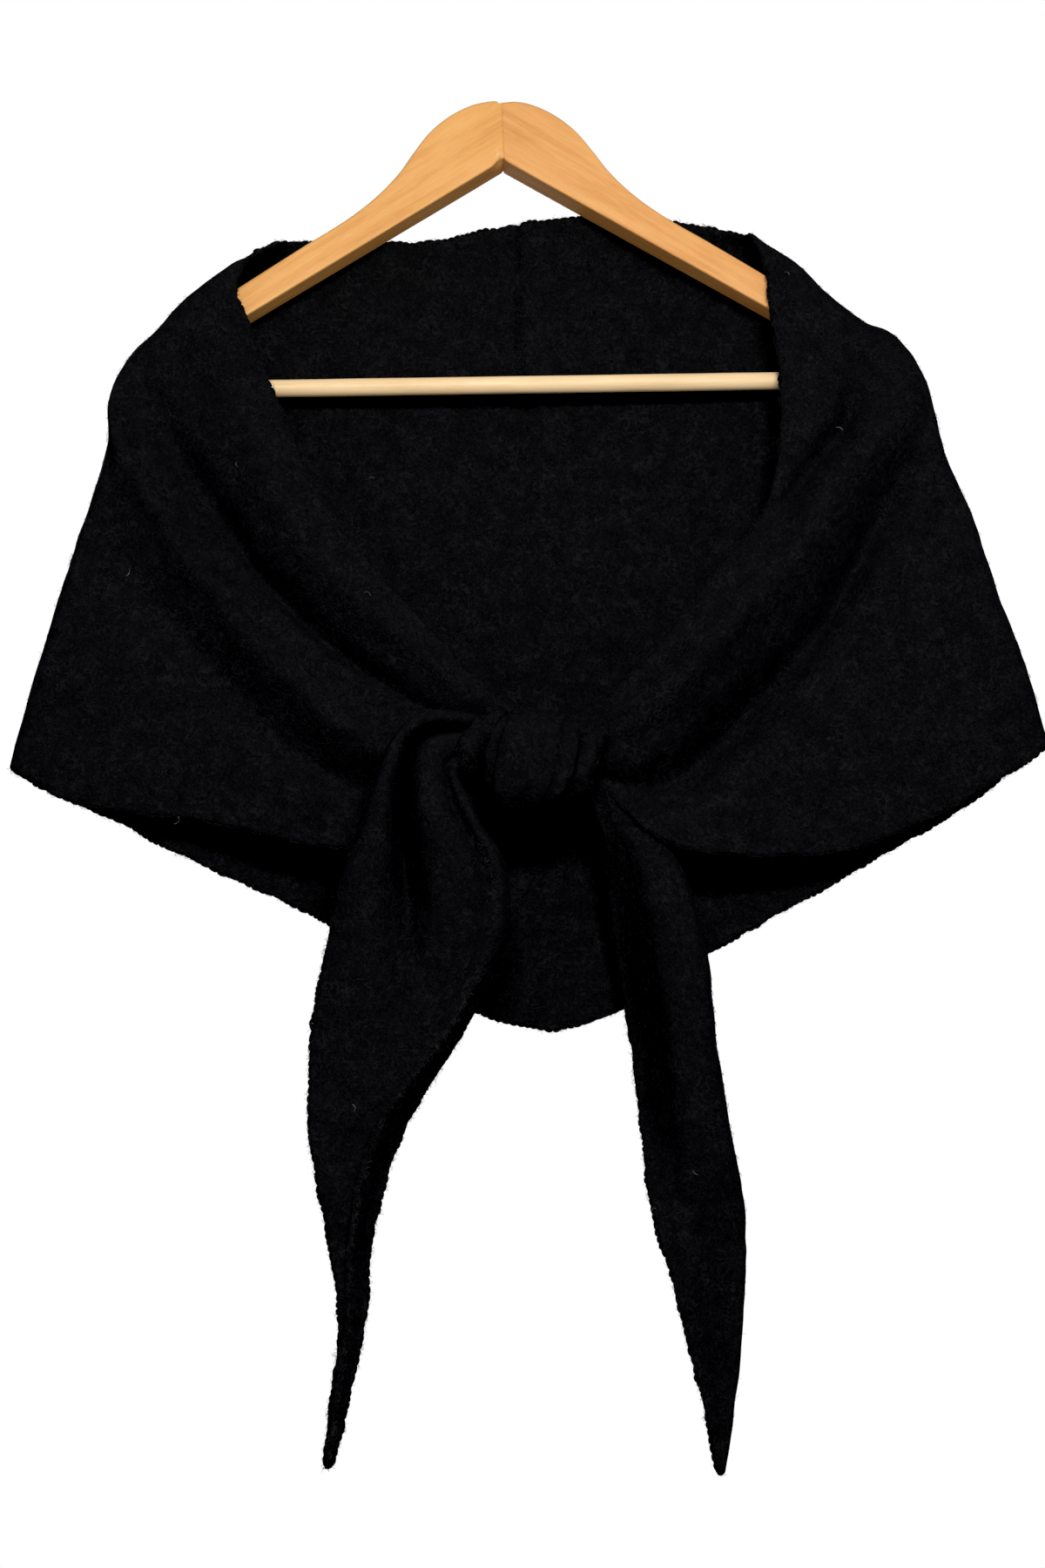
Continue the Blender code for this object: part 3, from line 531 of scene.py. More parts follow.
@dataclass
class Wall:
    """A closed wall of cloth round a middle surface on a grid, with a rounded, wavy hem.

    Attributes:
        name: The piece's name.
        middle: The middle surface, as a grid of places in millimetres.
        towards: A direction on the wall's outer side.
        seed: The seed of its lumps and waves.
    """

    name: str
    middle: Array
    towards: Triple
    seed: int

    def __post_init__(self) -> None:
        """Works out the wall's directions, its two faces and its edge."""
        along, across = np.gradient(self.middle, axis=0), np.gradient(self.middle, axis=1)
        self.normals = unit(np.cross(along, across))
        if (self.normals @ np.array(self.towards, float)).mean() < 0:
            self.normals = -self.normals
        self.along = unit(along)
        rows, columns = self.middle.shape[:2]
        index = np.arange(rows * columns).reshape(rows, columns)
        self.index = index
        self.border = np.concatenate(
            [index[:-1, 0], index[-1, :-1], index[:0:-1, -1], index[0, :0:-1]]
        )
        self.outer = self.middle + self.normals * (CLOTH_WALL / 2 + self.lumps(0))[..., None]
        self.inner = self.middle - self.normals * (CLOTH_WALL / 2 + self.lumps(1))[..., None]

    def lumps(self, face: int) -> Array:
        """Heights of the felted knit: two sizes of wandering lumps over the hanging cloth.

        Args:
            face: 0 for the outer face, 1 for the inner one.

        Returns:
            The heights, in millimetres.
        """
        x, z = self.middle[..., 0], self.middle[..., 2]
        seeds = range(self.seed + 10 * face, self.seed + 10 * face + len(LUMPS))
        return sum(h * wander(x / size, z / size, seed) for (h, size), seed in zip(LUMPS, seeds))

    def hem(self) -> tuple[Array, Array, Array]:
        """The edge of the sheet.

        Returns:
            Places on the middle surface once round the edge, the directions out of the sheet
            there, and how far the waves of the hem carry it out.
        """
        rows, columns = self.middle.shape[:2]
        places = self.middle.reshape(-1, 3)[self.border]
        i, j = np.unravel_index(self.border, (rows, columns))
        inside = self.middle[np.clip(i, 1, rows - 2), np.clip(j, 1, columns - 2)]
        tangent = unit(np.roll(places, -1, axis=0) - np.roll(places, 1, axis=0))
        out = square_to(places - inside, tangent)
        run = np.cumsum(np.linalg.norm(places - np.roll(places, 1, axis=0), axis=1))
        return places, out, wander_along(run, HEM_WAVE, self.seed + 5)

    def build(self) -> bpy.types.Object:
        """Makes the wall: both faces of the cloth and a half-round rim between them.

        The rim's place at the angle a from the outer face is the edge, plus the normal times
        the half thickness times cos a, plus the way out times the half thickness and the hem's
        wave times sin a.

        Returns:
            The wall's object.
        """
        count = self.index.size
        index, border = self.index, self.border
        places, out, wave = self.hem()
        normal = self.normals.reshape(-1, 3)[border]
        outer_half = np.linalg.norm(self.outer - self.middle, axis=-1).ravel()[border]
        inner_half = np.linalg.norm(self.inner - self.middle, axis=-1).ravel()[border]
        angle = np.linspace(0, math.pi, RIM_STEPS + 1)[1:-1, None]
        upright = np.where(np.cos(angle) > 0, outer_half, inner_half) * np.cos(angle)
        outwards = (CLOTH_WALL / 2 + wave) * np.sin(angle)
        rim = places + normal * upright[..., None] + out * outwards[..., None]
        points = np.concatenate(
            [self.outer.reshape(-1, 3), self.inner.reshape(-1, 3), rim.reshape(-1, 3)]
        )
        rings = 2 * count + np.arange(rim.shape[0] * len(border)).reshape(rim.shape[0], -1)
        loops = np.concatenate([border[None], rings, border[None] + count])
        strips = between(loops[:-1], loops[1:])[:, [0, 3, 2, 1]]
        face = np.stack([index[:-1, :-1], index[1:, :-1], index[1:, 1:], index[:-1, 1:]], axis=-1)
        face = face.reshape(-1, 4)
        return make_piece(self.name, points, np.concatenate([face, face[:, ::-1] + count, strips]))

    def selvedge(self) -> bpy.types.Object:
        """Makes the yarn along the hem, which loops out between the stitches that hold it.

        At the run s along the edge its centre stands out by the seat, plus the loop's height
        times the root of the absolute sine of pi times s over the loop's length, and the place
        in the loop wanders.

        Returns:
            The yarn's object.
        """
        places, out, wave = self.hem()
        normal = self.normals.reshape(-1, 3)[self.border]
        table = np.concatenate([places, out, wave[:, None], normal], axis=1)
        table = np.concatenate([table, table[:1]])
        run = np.cumsum(np.linalg.norm(np.diff(table[:, :3], axis=0), axis=1))
        run = np.concatenate([[0.0], run])
        s = np.linspace(0, run[-1], int(run[-1] / YARN_STEP), endpoint=False)
        table = np.stack([np.interp(s, run, column) for column in table.T], axis=1)
        centre, out, wave, normal = table[:, :3], table[:, 3:6], table[:, 6], table[:, 7:]
        phase = s / LOOP_LENGTH + wander_along(s, PLACE_WANDER, self.seed + 7)
        height = LOOP_HEIGHT * (1 + wander_along(s, HEIGHT_WANDER, self.seed + 8))
        seat = CLOTH_WALL / 2 + wave - YARN_RADIUS
        reach = seat + height * np.sqrt(np.abs(np.sin(math.pi * phase)))
        centre = centre + unit(out) * reach[:, None]
        centre = centre + unit(normal) * wander_along(s, DEPTH_WANDER, self.seed + 9)[:, None]
        forward = unit(np.roll(centre, -1, axis=0) - np.roll(centre, 1, axis=0))
        normal = square_to(normal, forward)
        points = rings_round(centre, normal, np.cross(normal, forward), YARN_RADIUS, YARN_SIDES)
        index = np.arange(len(s) * YARN_SIDES).reshape(len(s), YARN_SIDES)
        quads = between(index, np.roll(index, -1, axis=0))
        return make_piece(f"{self.name}_selvedge", points.reshape(-1, 3), quads)

    def area(self) -> float:
        """The area of the middle surface, in square metres."""
        return float(cell_areas(self.middle).sum()) * MM * MM


@dataclass
class Shawl:
    """The stretch of the cloth that lies over the hanger: left front, back and right front.

    Attributes:
        front_steps: Grid steps across each front.
        back_steps: Grid steps across the back.
        rows: Grid steps from the neck edge to the hem.
        turn_steps: Grid steps round half of a side fold.
        front_turn: The share of a front's width that goes round its fold.
        back_turn: The share of the back's width that goes round each fold.
        gathered_steps: How much closer the steps stand at the centre of the back, as a share.
        flat: The width and length of the cut that shows here, in metres.
        seed: The seed of its lumps and waves.
    """

    front_steps: int = 92
    back_steps: int = 168
    rows: int = 124
    turn_steps: int = 8
    gathered_steps: float = 0.6
    front_turn: float = 0.04
    back_turn: float = 0.03
    flat: tuple[float, float] = (1.1, 0.47)
    seed: int = 11

    def across(self, turn: float, steps: int, both_sides: bool) -> tuple[Array, Array]:
        """Places across a panel, and how far each has come round the fold at its side.

        Next to a fold the columns stand as on a quarter circle, which takes up the share turn.
        On the back they also stand closer together about its centre, where the crease is.

        Args:
            turn: The share of the panel's width in the fold.
            steps: Grid steps across the panel.
            both_sides: Whether the panel has a fold at each side.

        Returns:
            The places from 0 to 1, and the shares from 0, on the fold, to 1, past it.
        """
        angles = np.linspace(0, math.pi / 2, self.turn_steps + 1)
        start, came_round = turn * (1 - np.cos(angles)), np.sin(angles)
        flat = steps - self.turn_steps * (2 if both_sides else 1)
        even = np.linspace(0, 1, flat + 1)[1:]
        if both_sides:
            even = even - self.gathered_steps * np.sin(4 * math.pi * even) / (4 * math.pi)
        middle = turn + even * (1 - turn * (2 if both_sides else 1))
        places = np.concatenate([start, middle])
        turned = np.concatenate([came_round, np.ones(len(middle))])
        if both_sides:
            places = np.concatenate([places, 1 - start[-2::-1]])
            turned = np.concatenate([turned, came_round[-2::-1]])
        return places, turned

    @staticmethod
    def stretched(near: Array, far: Array, start: Array, end: Array, u: Array, v: Array) -> Array:
        """A patch stretched between four edge curves.

        It is the ruled patch between near and far, plus the one between start and end, less
        the one between the four corners.

        Args:
            near: The edge at v = 0, over u.
            far: The edge at v = 1, over u.
            start: The edge at u = 0, over v.
            end: The edge at u = 1, over v.
            u: Places across.
            v: Places down.

        Returns:
            The patch as a grid of places.
        """
        u, v = u[:, None, None], v[None, :, None]
        down = (1 - v) * near[:, None] + v * far[:, None]
        over = (1 - u) * start[None] + u * end[None]
        near_row = (1 - u) * near[0] + u * near[-1]
        far_row = (1 - u) * far[0] + u * far[-1]
        return down + over - ((1 - v) * near_row + v * far_row)

    @staticmethod
    def creased(u: Array, v: Array, creases: Sequence[Sequence[Sequence[float]]]) -> Array:
        """Depths of a panel's creases.

        A crease is a bell curve down the panel. Its middle, width and depth follow smooth curves
        through its rows, and past its two ends there is nothing of it.

        Args:
            u: Places across.
            v: Places down.
            creases: The rows of each crease.

        Returns:
            The depth at each point of the grid, in millimetres.
        """
        total = np.zeros((u.size, v.size))
        for rows in creases:
            first, last = rows[0][0], rows[-1][0]
            share = np.clip((u - first) / (last - first), 0, 1)
            path = Rows(CREASE_NAMES, rows, measured="across").at(share)
            _, middle, width, depth = (column[:, None] for column in path.T)
            depth = np.where((u >= first) & (u <= last), depth[:, 0], 0)[:, None]
            total += depth * np.exp(-(((v[None] - middle) / width) ** 2))
        return total

    def front(
        self, fold: Rows, neck_edge: Rows, hem: Rows, gather: Rows, creases: Sequence
    ) -> Array:
        """The middle surface of one front, from its side fold to the knot.

        Args:
            fold: Its side fold.
            neck_edge: Its neck edge, from the fold to the knot.
            hem: Its hem, from the fold to the knot.
            gather: Its end in the knot.
            creases: The rows of its creases.

        Returns:
            The surface as a grid of places.
        """
        u, turned = self.across(self.front_turn, self.front_steps, both_sides=False)
        v = np.linspace(0, 1, self.rows + 1)
        x, z, depth, seam, _ = fold.columns(v)
        start = np.stack([x, depth, z], axis=1)
        points = self.stretched(neck_edge.at(u), hem.at(u), start, gather.at(v), u, v)
        points[..., 1] += self.creased(u, v, creases)
        points[..., 1] = seam + (points[..., 1] - seam) * turned[:, None]
        return points

    def back(self) -> Array:
        """The middle surface of the back, from the left fold to the right fold.

        Returns:
            The surface as a grid of places.
        """
        u, turned = self.across(self.back_turn, self.back_steps, both_sides=True)
        v = np.linspace(0, 1, self.rows + 1)
        edges, seams = [], []
        for fold in (LEFT_FOLD, RIGHT_FOLD):
            x, z, _, seam, depth = fold.columns(v)
            edges.append(np.stack([x, depth, z], axis=1))
            seams.append(seam)
        points = self.stretched(BACK_NECK_EDGE.at(u), BACK_HEM.at(u), *edges, u, v)
        crease = CENTRE_CREASE
        middle = crease["top"] + (crease["bottom"] - crease["top"]) * v
        bell = np.exp(-(((u[:, None] - middle[None]) / crease["half_width"]) ** 2))
        faded = sum(ease((v - start) / length) / 2 for start, length in crease["fades"])
        points[..., 1] += self.creased(u, v, BACK_CREASES)
        points[..., 1] += crease["depth"] * (1 - faded) * bell
        seam = np.where(u[:, None] < 0.5, seams[0][None], seams[1][None])
        points[..., 1] = seam + (points[..., 1] - seam) * turned[:, None]
        return points

    def wall(self) -> Wall:
        """The three panels as one sheet, from the knot round the back to the knot again.

        Returns:
            The sheet's wall, whose outer face looks away from the hanger.
        """
        left = self.front(LEFT_FOLD, LEFT_NECK_EDGE, LEFT_HEM, LEFT_GATHER, LEFT_CREASES)
        right = self.front(RIGHT_FOLD, RIGHT_NECK_EDGE, RIGHT_HEM, RIGHT_GATHER, RIGHT_CREASES)
        middle = np.concatenate([left[:0:-1], self.back(), right[1:]])
        wall = Wall("shawl", middle, (0, -1, 0), self.seed)
        back = slice(self.front_steps, self.front_steps + self.back_steps)
        if wall.normals[back, :, 1].mean() < 0:
            wall = Wall("shawl", middle, (0, 1, 0), self.seed)
        return wall


@dataclass
class Tail:
    """One end of the scarf, hanging from the knot.

    Attributes:
        side: The viewer's side that it hangs on.
        stations: Grid steps down the tail.
        across: Grid steps across its section.
        hem_rounding: The share of the relief by which a flat stretch rounds back at its hems.
        bead: How far the turned edge of the left tail stands out, in millimetres.
        bead_width: The half width of that edge, as a share of the tail's width.
        edge_start: Where the paler fuzz of its turned edge starts, as a share of the way down; that
            paler fuzz is a painted highlight.
        seed: The seed of its lumps and waves, which each side adds its number to.
    """

    side: Side
    stations: int = 150
    across: int = 72
    hem_rounding: float = 0.4
    bead: float = 3.0
    bead_width: float = 0.035
    edge_start: float = 0.24
    seed: int = 31

    def wall(self) -> Wall:
        """The tail's cloth: outlines down its length, and the section table across them.

        Returns:
            The tail's wall, with its outer face to the front.
        """
        down = np.linspace(0, 1, self.stations + 1)
        spread = np.linspace(0, 1, self.across + 1)
        if self.side is Side.LEFT:
            columns = [column[:, None] for column in LEFT_TAIL.columns(down)]
            outer_x, outer_z, inner_x, inner_z, depth, relief, *rest = columns
            drift, arch, turn, strip = rest
            place, fold = ARCH_SECTION.columns(spread)
            rounded = 1 - np.sqrt(np.clip(1 - (2 * place - 1) ** 2, 0, 1))
            y = depth + relief * (arch * fold + (1 - arch) * self.hem_rounding * rounded)
            y = y + turn * ease((place - (1 - strip)) / strip)
            crest = np.exp(-(((place - (1 - strip)) / self.bead_width) ** 2))
            y = y - self.bead * (1 - arch) * crest
            place = place + 4 * drift * place * (1 - place)
        else:
            columns = [column[:, None] for column in RIGHT_TAIL.columns(down)]
            outer_x, outer_z, inner_x, inner_z, depth, relief, layer = columns
            place, fold, behind = FOLDED_SECTION.columns(spread)
            y = depth + relief * fold + layer * behind
        x = outer_x + (inner_x - outer_x) * place
        z = outer_z + (inner_z - outer_z) * place
        name = f"tail_{self.side.name.lower()}_cloth"
        middle = np.stack([x, y, z], axis=-1)
        return Wall(name, middle, (0, -1, 0), self.seed + self.side.value)

    def turned_edge(self, wall: Wall, count: int, seed: int) -> "Roots":
        """Roots along the left tail's turned edge, on its lower part.

        Args:
            wall: The left tail's cloth.
            count: How many roots.
            seed: Their seed.

        Returns:
            The roots, on the cells of the grid that lie at the edge.
        """
        down = np.linspace(0, 1, self.stations + 1)
        strip = LEFT_TAIL.columns(down)[-1]
        place = ARCH_SECTION.columns(np.linspace(0, 1, self.across + 1))[0]
        column = np.abs(place - (1 - strip[:, None])).argmin(axis=1)
        first = int(self.stations * self.edge_start)
        rows = np.arange(first, self.stations)[:, None]
        at_edge = (rows, column[first:-1, None] + np.arange(2))
        grids = (grid[at_edge] for grid in (wall.outer, wall.normals, wall.along))
        return Roots.over(*grids, count, seed)


@dataclass
class Strand:
    """A flattened strand of the knot: one stretch of cloth, gathered into lengthwise folds.

    Attributes:
        name: The piece's name.
        path: The strand's table.
        folds: How many folds run round its section.
        fold_depth: Their depth, as a share of the section.
        seed: The seed of their wander.
        rings: Grid steps along it.
        sides: Grid steps round it.
        squareness: The power that squares off its section; 1 is an ellipse.
        fold_wander: How far the folds wander round it, in radians, over which length.
        lumps: The height of its lumps, as a share of the section, their length along it, and how
            many lie in a radian round it.
    """

    name: str
    path: Rows
    folds: float
    fold_depth: float
    seed: int
    rings: int = 72
    sides: int = 64
    squareness: float = 0.8
    fold_wander: tuple[float, float] = (1.6, 22.0)
    lumps: tuple[float, float, float] = (0.03, 6.0, 4.0)

    def __post_init__(self) -> None:
        """Works out the rings round the strand.

        A ring is a squared-off ellipse: the cosine and sine of its angle are raised to a power
        below one and multiplied by the table's half width and half depth. The folds draw it in
        by a wave round the section whose phase wanders along the strand.
        """
        share = np.linspace(0, 1, self.rings + 1)
        x, y, z, half_width, half_depth, lean = self.path.columns(share)
        centre = np.stack([x, y, z], axis=1)
        along = unit(np.gradient(centre, axis=0))
        lean = np.radians(lean)
        level = np.stack([np.cos(lean), np.zeros_like(lean), np.sin(lean)], axis=1)
        level = square_to(level, along)
        out = np.cross(level, along)
        angle = circle(self.sides)
        run = np.cumsum(np.linalg.norm(np.gradient(centre, axis=0), axis=1))
        phase = wander_along(run, self.fold_wander, self.seed)[:, None]
        waves = 0.5 + 0.5 * np.cos(self.folds * angle + phase)
        height, length, crowding = self.lumps
        lumps = height * wander(run[:, None] / length, angle * crowding, self.seed + 1)
        swell = 1 - self.fold_depth * waves**2 + lumps
        round_it = np.array([np.cos(angle), np.sin(angle)])
        wide, deep = np.sign(round_it) * np.abs(round_it) ** self.squareness
        self.points = (
            centre[:, None]
            + level[:, None] * (half_width[:, None] * wide * swell)[..., None]
            + out[:, None] * (half_depth[:, None] * deep * swell)[..., None]
        )
        around = np.roll(self.points, -1, axis=1) - np.roll(self.points, 1, axis=1)
        self.along = unit(np.gradient(self.points, axis=0))
        self.normals = unit(np.cross(self.along, around))
        if ((self.points - centre[:, None]) * self.normals).sum() < 0:
            self.normals = -self.normals

    def area(self) -> float:
        """Half of the strand's skin in square metres, which is the cloth gathered into it."""
        closed = np.concatenate([self.points, self.points[:, :1]], axis=1)
        return float(cell_areas(closed).sum()) / 2 * MM * MM


@dataclass(frozen=True)
class Roots:
    """Where fibres grow: their roots, the ways out of the cloth and along it."""

    places: Array
    normals: Array
    along: Array

    @staticmethod
    def over(points: Array, normals: Array, along: Array, count: int, seed: int) -> "Roots":
        """Roots spread evenly over a grid.

        Each cell of the grid gets roots in proportion to its area, at random places in it.

        Args:
            points: The grid's places.
            normals: The ways out of the cloth there.
            along: The ways along the cloth there.
            count: How many roots.
            seed: Their seed.

        Returns:
            The roots.
        """
        rng = np.random.default_rng(seed)
        area = cell_areas(points)
        run = np.cumsum(area.ravel())
        cell = np.searchsorted(run, rng.random(count) * run[-1])
        i, j = np.unravel_index(np.minimum(cell, area.size - 1), area.shape)
        s, t = rng.random((2, count, 1))

        def mixed(grid: Array) -> Array:
            """The grid's values at the roots, mixed from the four corners of their cells.

            Args:
                grid: Values on the grid.

            Returns:
                A value for each root.
            """
            near = grid[i, j] * (1 - s) + grid[i + 1, j] * s
            far = grid[i, j + 1] * (1 - s) + grid[i + 1, j + 1] * s
            return near * (1 - t) + far * t

        return Roots(mixed(points), unit(mixed(normals)), unit(mixed(along)))

    @staticmethod
    def along_hem(wall: Wall, count: int, seed: int) -> "Roots":
        """Roots spread evenly along the hem of a wall, pointing out of the sheet.

        Args:
            wall: The wall.
            count: How many roots.
            seed: Their seed.

        Returns:
            The roots.
        """
        rng = np.random.default_rng(seed)
        places, out, wave = wall.hem()
        following = np.roll(places, -1, axis=0)
        run = np.cumsum(np.linalg.norm(following - places, axis=1))
        i = np.minimum(np.searchsorted(run, rng.random(count) * run[-1]), len(run) - 1)
        share = rng.random((count, 1))
        edge = places + out * (CLOTH_WALL / 2 + wave - HEM_SINK)[:, None]
        normal = wall.normals.reshape(-1, 3)[wall.border][i]
        across = rng.uniform(-HEM_SPREAD, HEM_SPREAD, (count, 1)) * CLOTH_WALL / 2
        spot = edge[i] * (1 - share) + np.roll(edge, -1, axis=0)[i] * share + normal * across
        lean = unit(out[i] + normal * across * HEM_LEAN)
        return Roots(spot, lean, unit(following[i] - places[i]))

    @staticmethod
    def joined(several: Sequence["Roots"]) -> "Roots":
        """Several sets of roots as one."""
        names = ("places", "normals", "along")
        return Roots(*(np.concatenate([getattr(s, name) for s in several]) for name in names))


@dataclass(frozen=True)
class Pile:
    """Loose curly fibres brushed up out of the knit, in millimetres.

    Attributes:
        length: Their usual length.
        radius: Their radius at the root.
        lift: How far a fibre's three stretches rise out of the cloth, for each unit along it.
        curl: The usual turn between two stretches, in radians.
        sink: How far the root lies under the face of the cloth.
        sides: Corners of a ring round a fibre.
        taper: How much thinner each ring is than the one before it, as a share of the radius.
        lengths: The shortest and longest fibre, as shares of the usual length.
        turns: The least and greatest turn, as shares of the curl.
        rises: The least and greatest rise, as shares of the lift.
    """

    length: float = 4.5
    radius: float = 0.12
    lift: tuple[float, float, float] = (0.35, 0.10, -0.08)
    curl: float = 1.2
    sink: float = 0.1
    sides: int = 3
    taper: float = 0.22
    lengths: tuple[float, float] = (0.5, 1.5)
    turns: tuple[float, float] = (0.4, 1.6)
    rises: tuple[float, float] = (0.2, 1.6)

    def grow(self, name: str, roots: Roots, seed: int) -> bpy.types.Object:
        """Makes a fibre on each root.

        A fibre is a chain of stretches. Each stretch heads along the cloth at an angle that
        turns by the curl from one to the next, and rises by its lift. A three-sided ring stands
        at each joint, and the last stretch runs to a point.

        Args:
            name: The piece's name.
            roots: Where the fibres grow.
            seed: The seed of their lengths and turns.

        Returns:
            All the fibres as one object.
        """
        rng = np.random.default_rng(seed)
        count = len(roots.places)
        across = unit(np.cross(roots.normals, roots.along))
        heading = rng.uniform(0, 2 * math.pi, (count, 1))
        turn = self.curl * rng.choice([-1.0, 1.0], (count, 1)) * rng.uniform(*self.turns, (count, 1))
        step = self.length * rng.uniform(*self.lengths, (count, 1)) / len(self.lift)
        rise = rng.uniform(*self.rises, (count, 1))
        place = roots.places - roots.normals * self.sink
        rings = []
        for joint, lift in enumerate(self.lift):
            forward = roots.along * np.cos(heading) + across * np.sin(heading)
            beside = across * np.cos(heading) - roots.along * np.sin(heading)
            way = unit(forward + roots.normals * lift * rise)
            radius = self.radius * (1 - self.taper * joint)
            rings.append(rings_round(place, beside, np.cross(way, beside), radius, self.sides))
            place = place + way * step
            heading = heading + turn
        points = np.concatenate([*rings, place[:, None]], axis=1)
        per_fibre = points.shape[1]
        base = np.arange(count)[:, None, None] * per_fibre
        rows = np.arange(per_fibre - 1).reshape(-1, self.sides)
        quads = (base + between(rows[:-1], rows[1:])).reshape(-1, 4)
        point = np.full(self.sides, per_fibre - 1)
        tip = np.stack([rows[-1], np.roll(rows[-1], -1), point], axis=-1)
        triangles = (base + np.concatenate([tip, rows[:1, ::-1]])).reshape(-1, 3)
        return make_piece(name, points.reshape(-1, 3), quads, triangles)


@dataclass
class Hanger:
    """Two bent wooden arms that meet in a mitre, and a round bar between them.

    Attributes:
        half_span: From the mitre to the end of an arm.
        depth_at_mitre: Thickness from front to back at the mitre.
        depth_at_end: Thickness from front to back near the ends.
        end_rounding: The length over which an end narrows.
        end_narrowing: How much it narrows, as a share.
        upper_radius: The rounding of the two long edges on top.
        lower_radius: The rounding of the two long edges below.
        edge_limit: The most that rounding takes of an arm's height.
        mitre_bevel: The bevel round the mitre face.
        mitre_gap: From the mitre face to the middle.
        stations: Grid steps along an arm.
        edge_steps: Grid steps round an edge.
        face_steps: Grid steps over a flat face.
        bar_sides: Grid steps round the bar.
        bar_steps: Grid steps along the bar.
        crowding: The power by which an arm's stations stand closer together at the mitre.
        bar_waves: The height of the bar's unevenness, its length and how many lie in a radian.
        bar_seed: The seed of that unevenness.
    """

    half_span: float = 219.0
    depth_at_mitre: float = 18.4
    depth_at_end: float = 14.0
    end_rounding: float = 12.0
    end_narrowing: float = 0.4
    upper_radius: float = 2.6
    lower_radius: float = 1.3
    edge_limit: float = 0.45
    mitre_bevel: float = 0.35
    mitre_gap: float = 0.02
    stations: int = 150
    edge_steps: int = 8
    face_steps: int = 6
    bar_sides: int = 56
    bar_steps: int = 90
    crowding: float = 1.6
    bar_waves: tuple[float, float, float] = (0.06, 18.0, 1.5)
    bar_seed: int = 71

    def section(
        self, half: Array, top: Array, underside: Array, upper: Array, lower: Array
    ) -> Array:
        """Rounded oblongs: flat faces with evenly spaced points, and quarter rounds at the edges.

        Args:
            half: Half of the depth from front to back, for each station.
            top: Height of the top.
            underside: Height of the underside.
            upper: The rounding of the edges on top.
            lower: The rounding of the edges below.

        Returns:
            Depth and height of each point round the section, for each station.
        """
        corners = (
            (half - upper, top - upper, upper, 0),
            (upper - half, top - upper, upper, 1),
            (lower - half, underside + lower, lower, 2),
            (half - lower, underside + lower, lower, 3),
        )
        angle = np.linspace(0, math.pi / 2, self.edge_steps + 1)
        arcs = []
        for y, z, radius, quarter in corners:
            turned, radius = angle + quarter * math.pi / 2, radius[:, None]
            arc = [y[:, None] + radius * np.cos(turned), z[:, None] + radius * np.sin(turned)]
            arcs.append(np.stack(arc, axis=-1))
        ring = []
        share = np.linspace(0, 1, self.face_steps + 1)[1:-1, None]
        for arc, following in zip(arcs, arcs[1:] + arcs[:1]):
            face = arc[:, -1:] * (1 - share) + following[:, :1] * share
            ring += [arc, face]
        return np.concatenate(ring, axis=1)

    def arm(self, side: Side) -> bpy.types.Object:
        """Makes one arm: sections carried along its outline, closer together at the mitre.

        Args:
            side: The viewer's side that the arm is on.

        Returns:
            The arm's object.
        """
        reach = np.linspace(0, 1, self.stations + 1) ** self.crowding
        reach[1] = reach[2] / 2
        x, top, underside = ARM.columns(reach)
        half = self.depth_at_mitre + (self.depth_at_end - self.depth_at_mitre) * x / self.half_span
        rounded = ease((x - self.half_span + self.end_rounding) / self.end_rounding)
        half = half / 2 * (1 - self.end_narrowing * rounded)
        bevel = self.mitre_bevel * (x < self.mitre_bevel)
        half, top, underside = half - bevel, top - bevel, underside + bevel
        limit = (top - underside) * self.edge_limit
        upper = np.minimum(self.upper_radius, limit)
        rings = self.section(half, top, underside, upper, np.minimum(self.lower_radius, limit))
        along = np.broadcast_to(x[:, None, None] + self.mitre_gap, (*rings.shape[:2], 1))
        points = self.worn(np.concatenate([along, rings], axis=-1), side)
        points[..., 0] *= side.value
        return ring_piece(f"arm_{side.name.lower()}_wood", points)

    def worn(self, points: Array, side: Side) -> Array:
        """The arm with the small chips and notches of its mitre's edges.

        Points near a chip move up or down, and back from the front, by a bell curve of how far
        they lie from its middle, in its reaches along, through and up the arm.

        Args:
            points: The arm's points, as on the right side.
            side: The viewer's side that the arm is on.

        Returns:
            The points after wear.
        """
        for x, z, reach, tall, depth in MITRE_CHIPS[side]:
            middle = np.array([x, -self.depth_at_mitre / 2, z])
            size = np.array([reach, CHIP_THROUGH, tall])
            near = np.exp(-(((points - middle) / size) ** 2).sum(axis=-1))[..., None]
            points = points + near * np.array([0.0, abs(depth) / 2, depth])
        return points

    def bar(self) -> bpy.types.Object:
        """Makes the bar: a turned, slightly uneven rod in the middle of its solid's box.

        Returns:
            The bar's object.
        """
        low, high = (np.array(corner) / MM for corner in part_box("hanger_bar"))
        _, y, z = (low + high) / 2
        x = np.linspace(low[0], high[0], self.bar_steps + 1)[:, None]
        angle = circle(self.bar_sides)
        height, length, crowding = self.bar_waves
        uneven = height * wander(x / length, angle * crowding, self.bar_seed)
        radius = (high[2] - low[2]) / 2 + uneven
        places = np.broadcast_arrays(x, y + radius * np.cos(angle), z + radius * np.sin(angle))
        return ring_piece("bar_wood", np.stack(places, axis=-1))


Value = Union[float, Sequence[float], "Socket"]


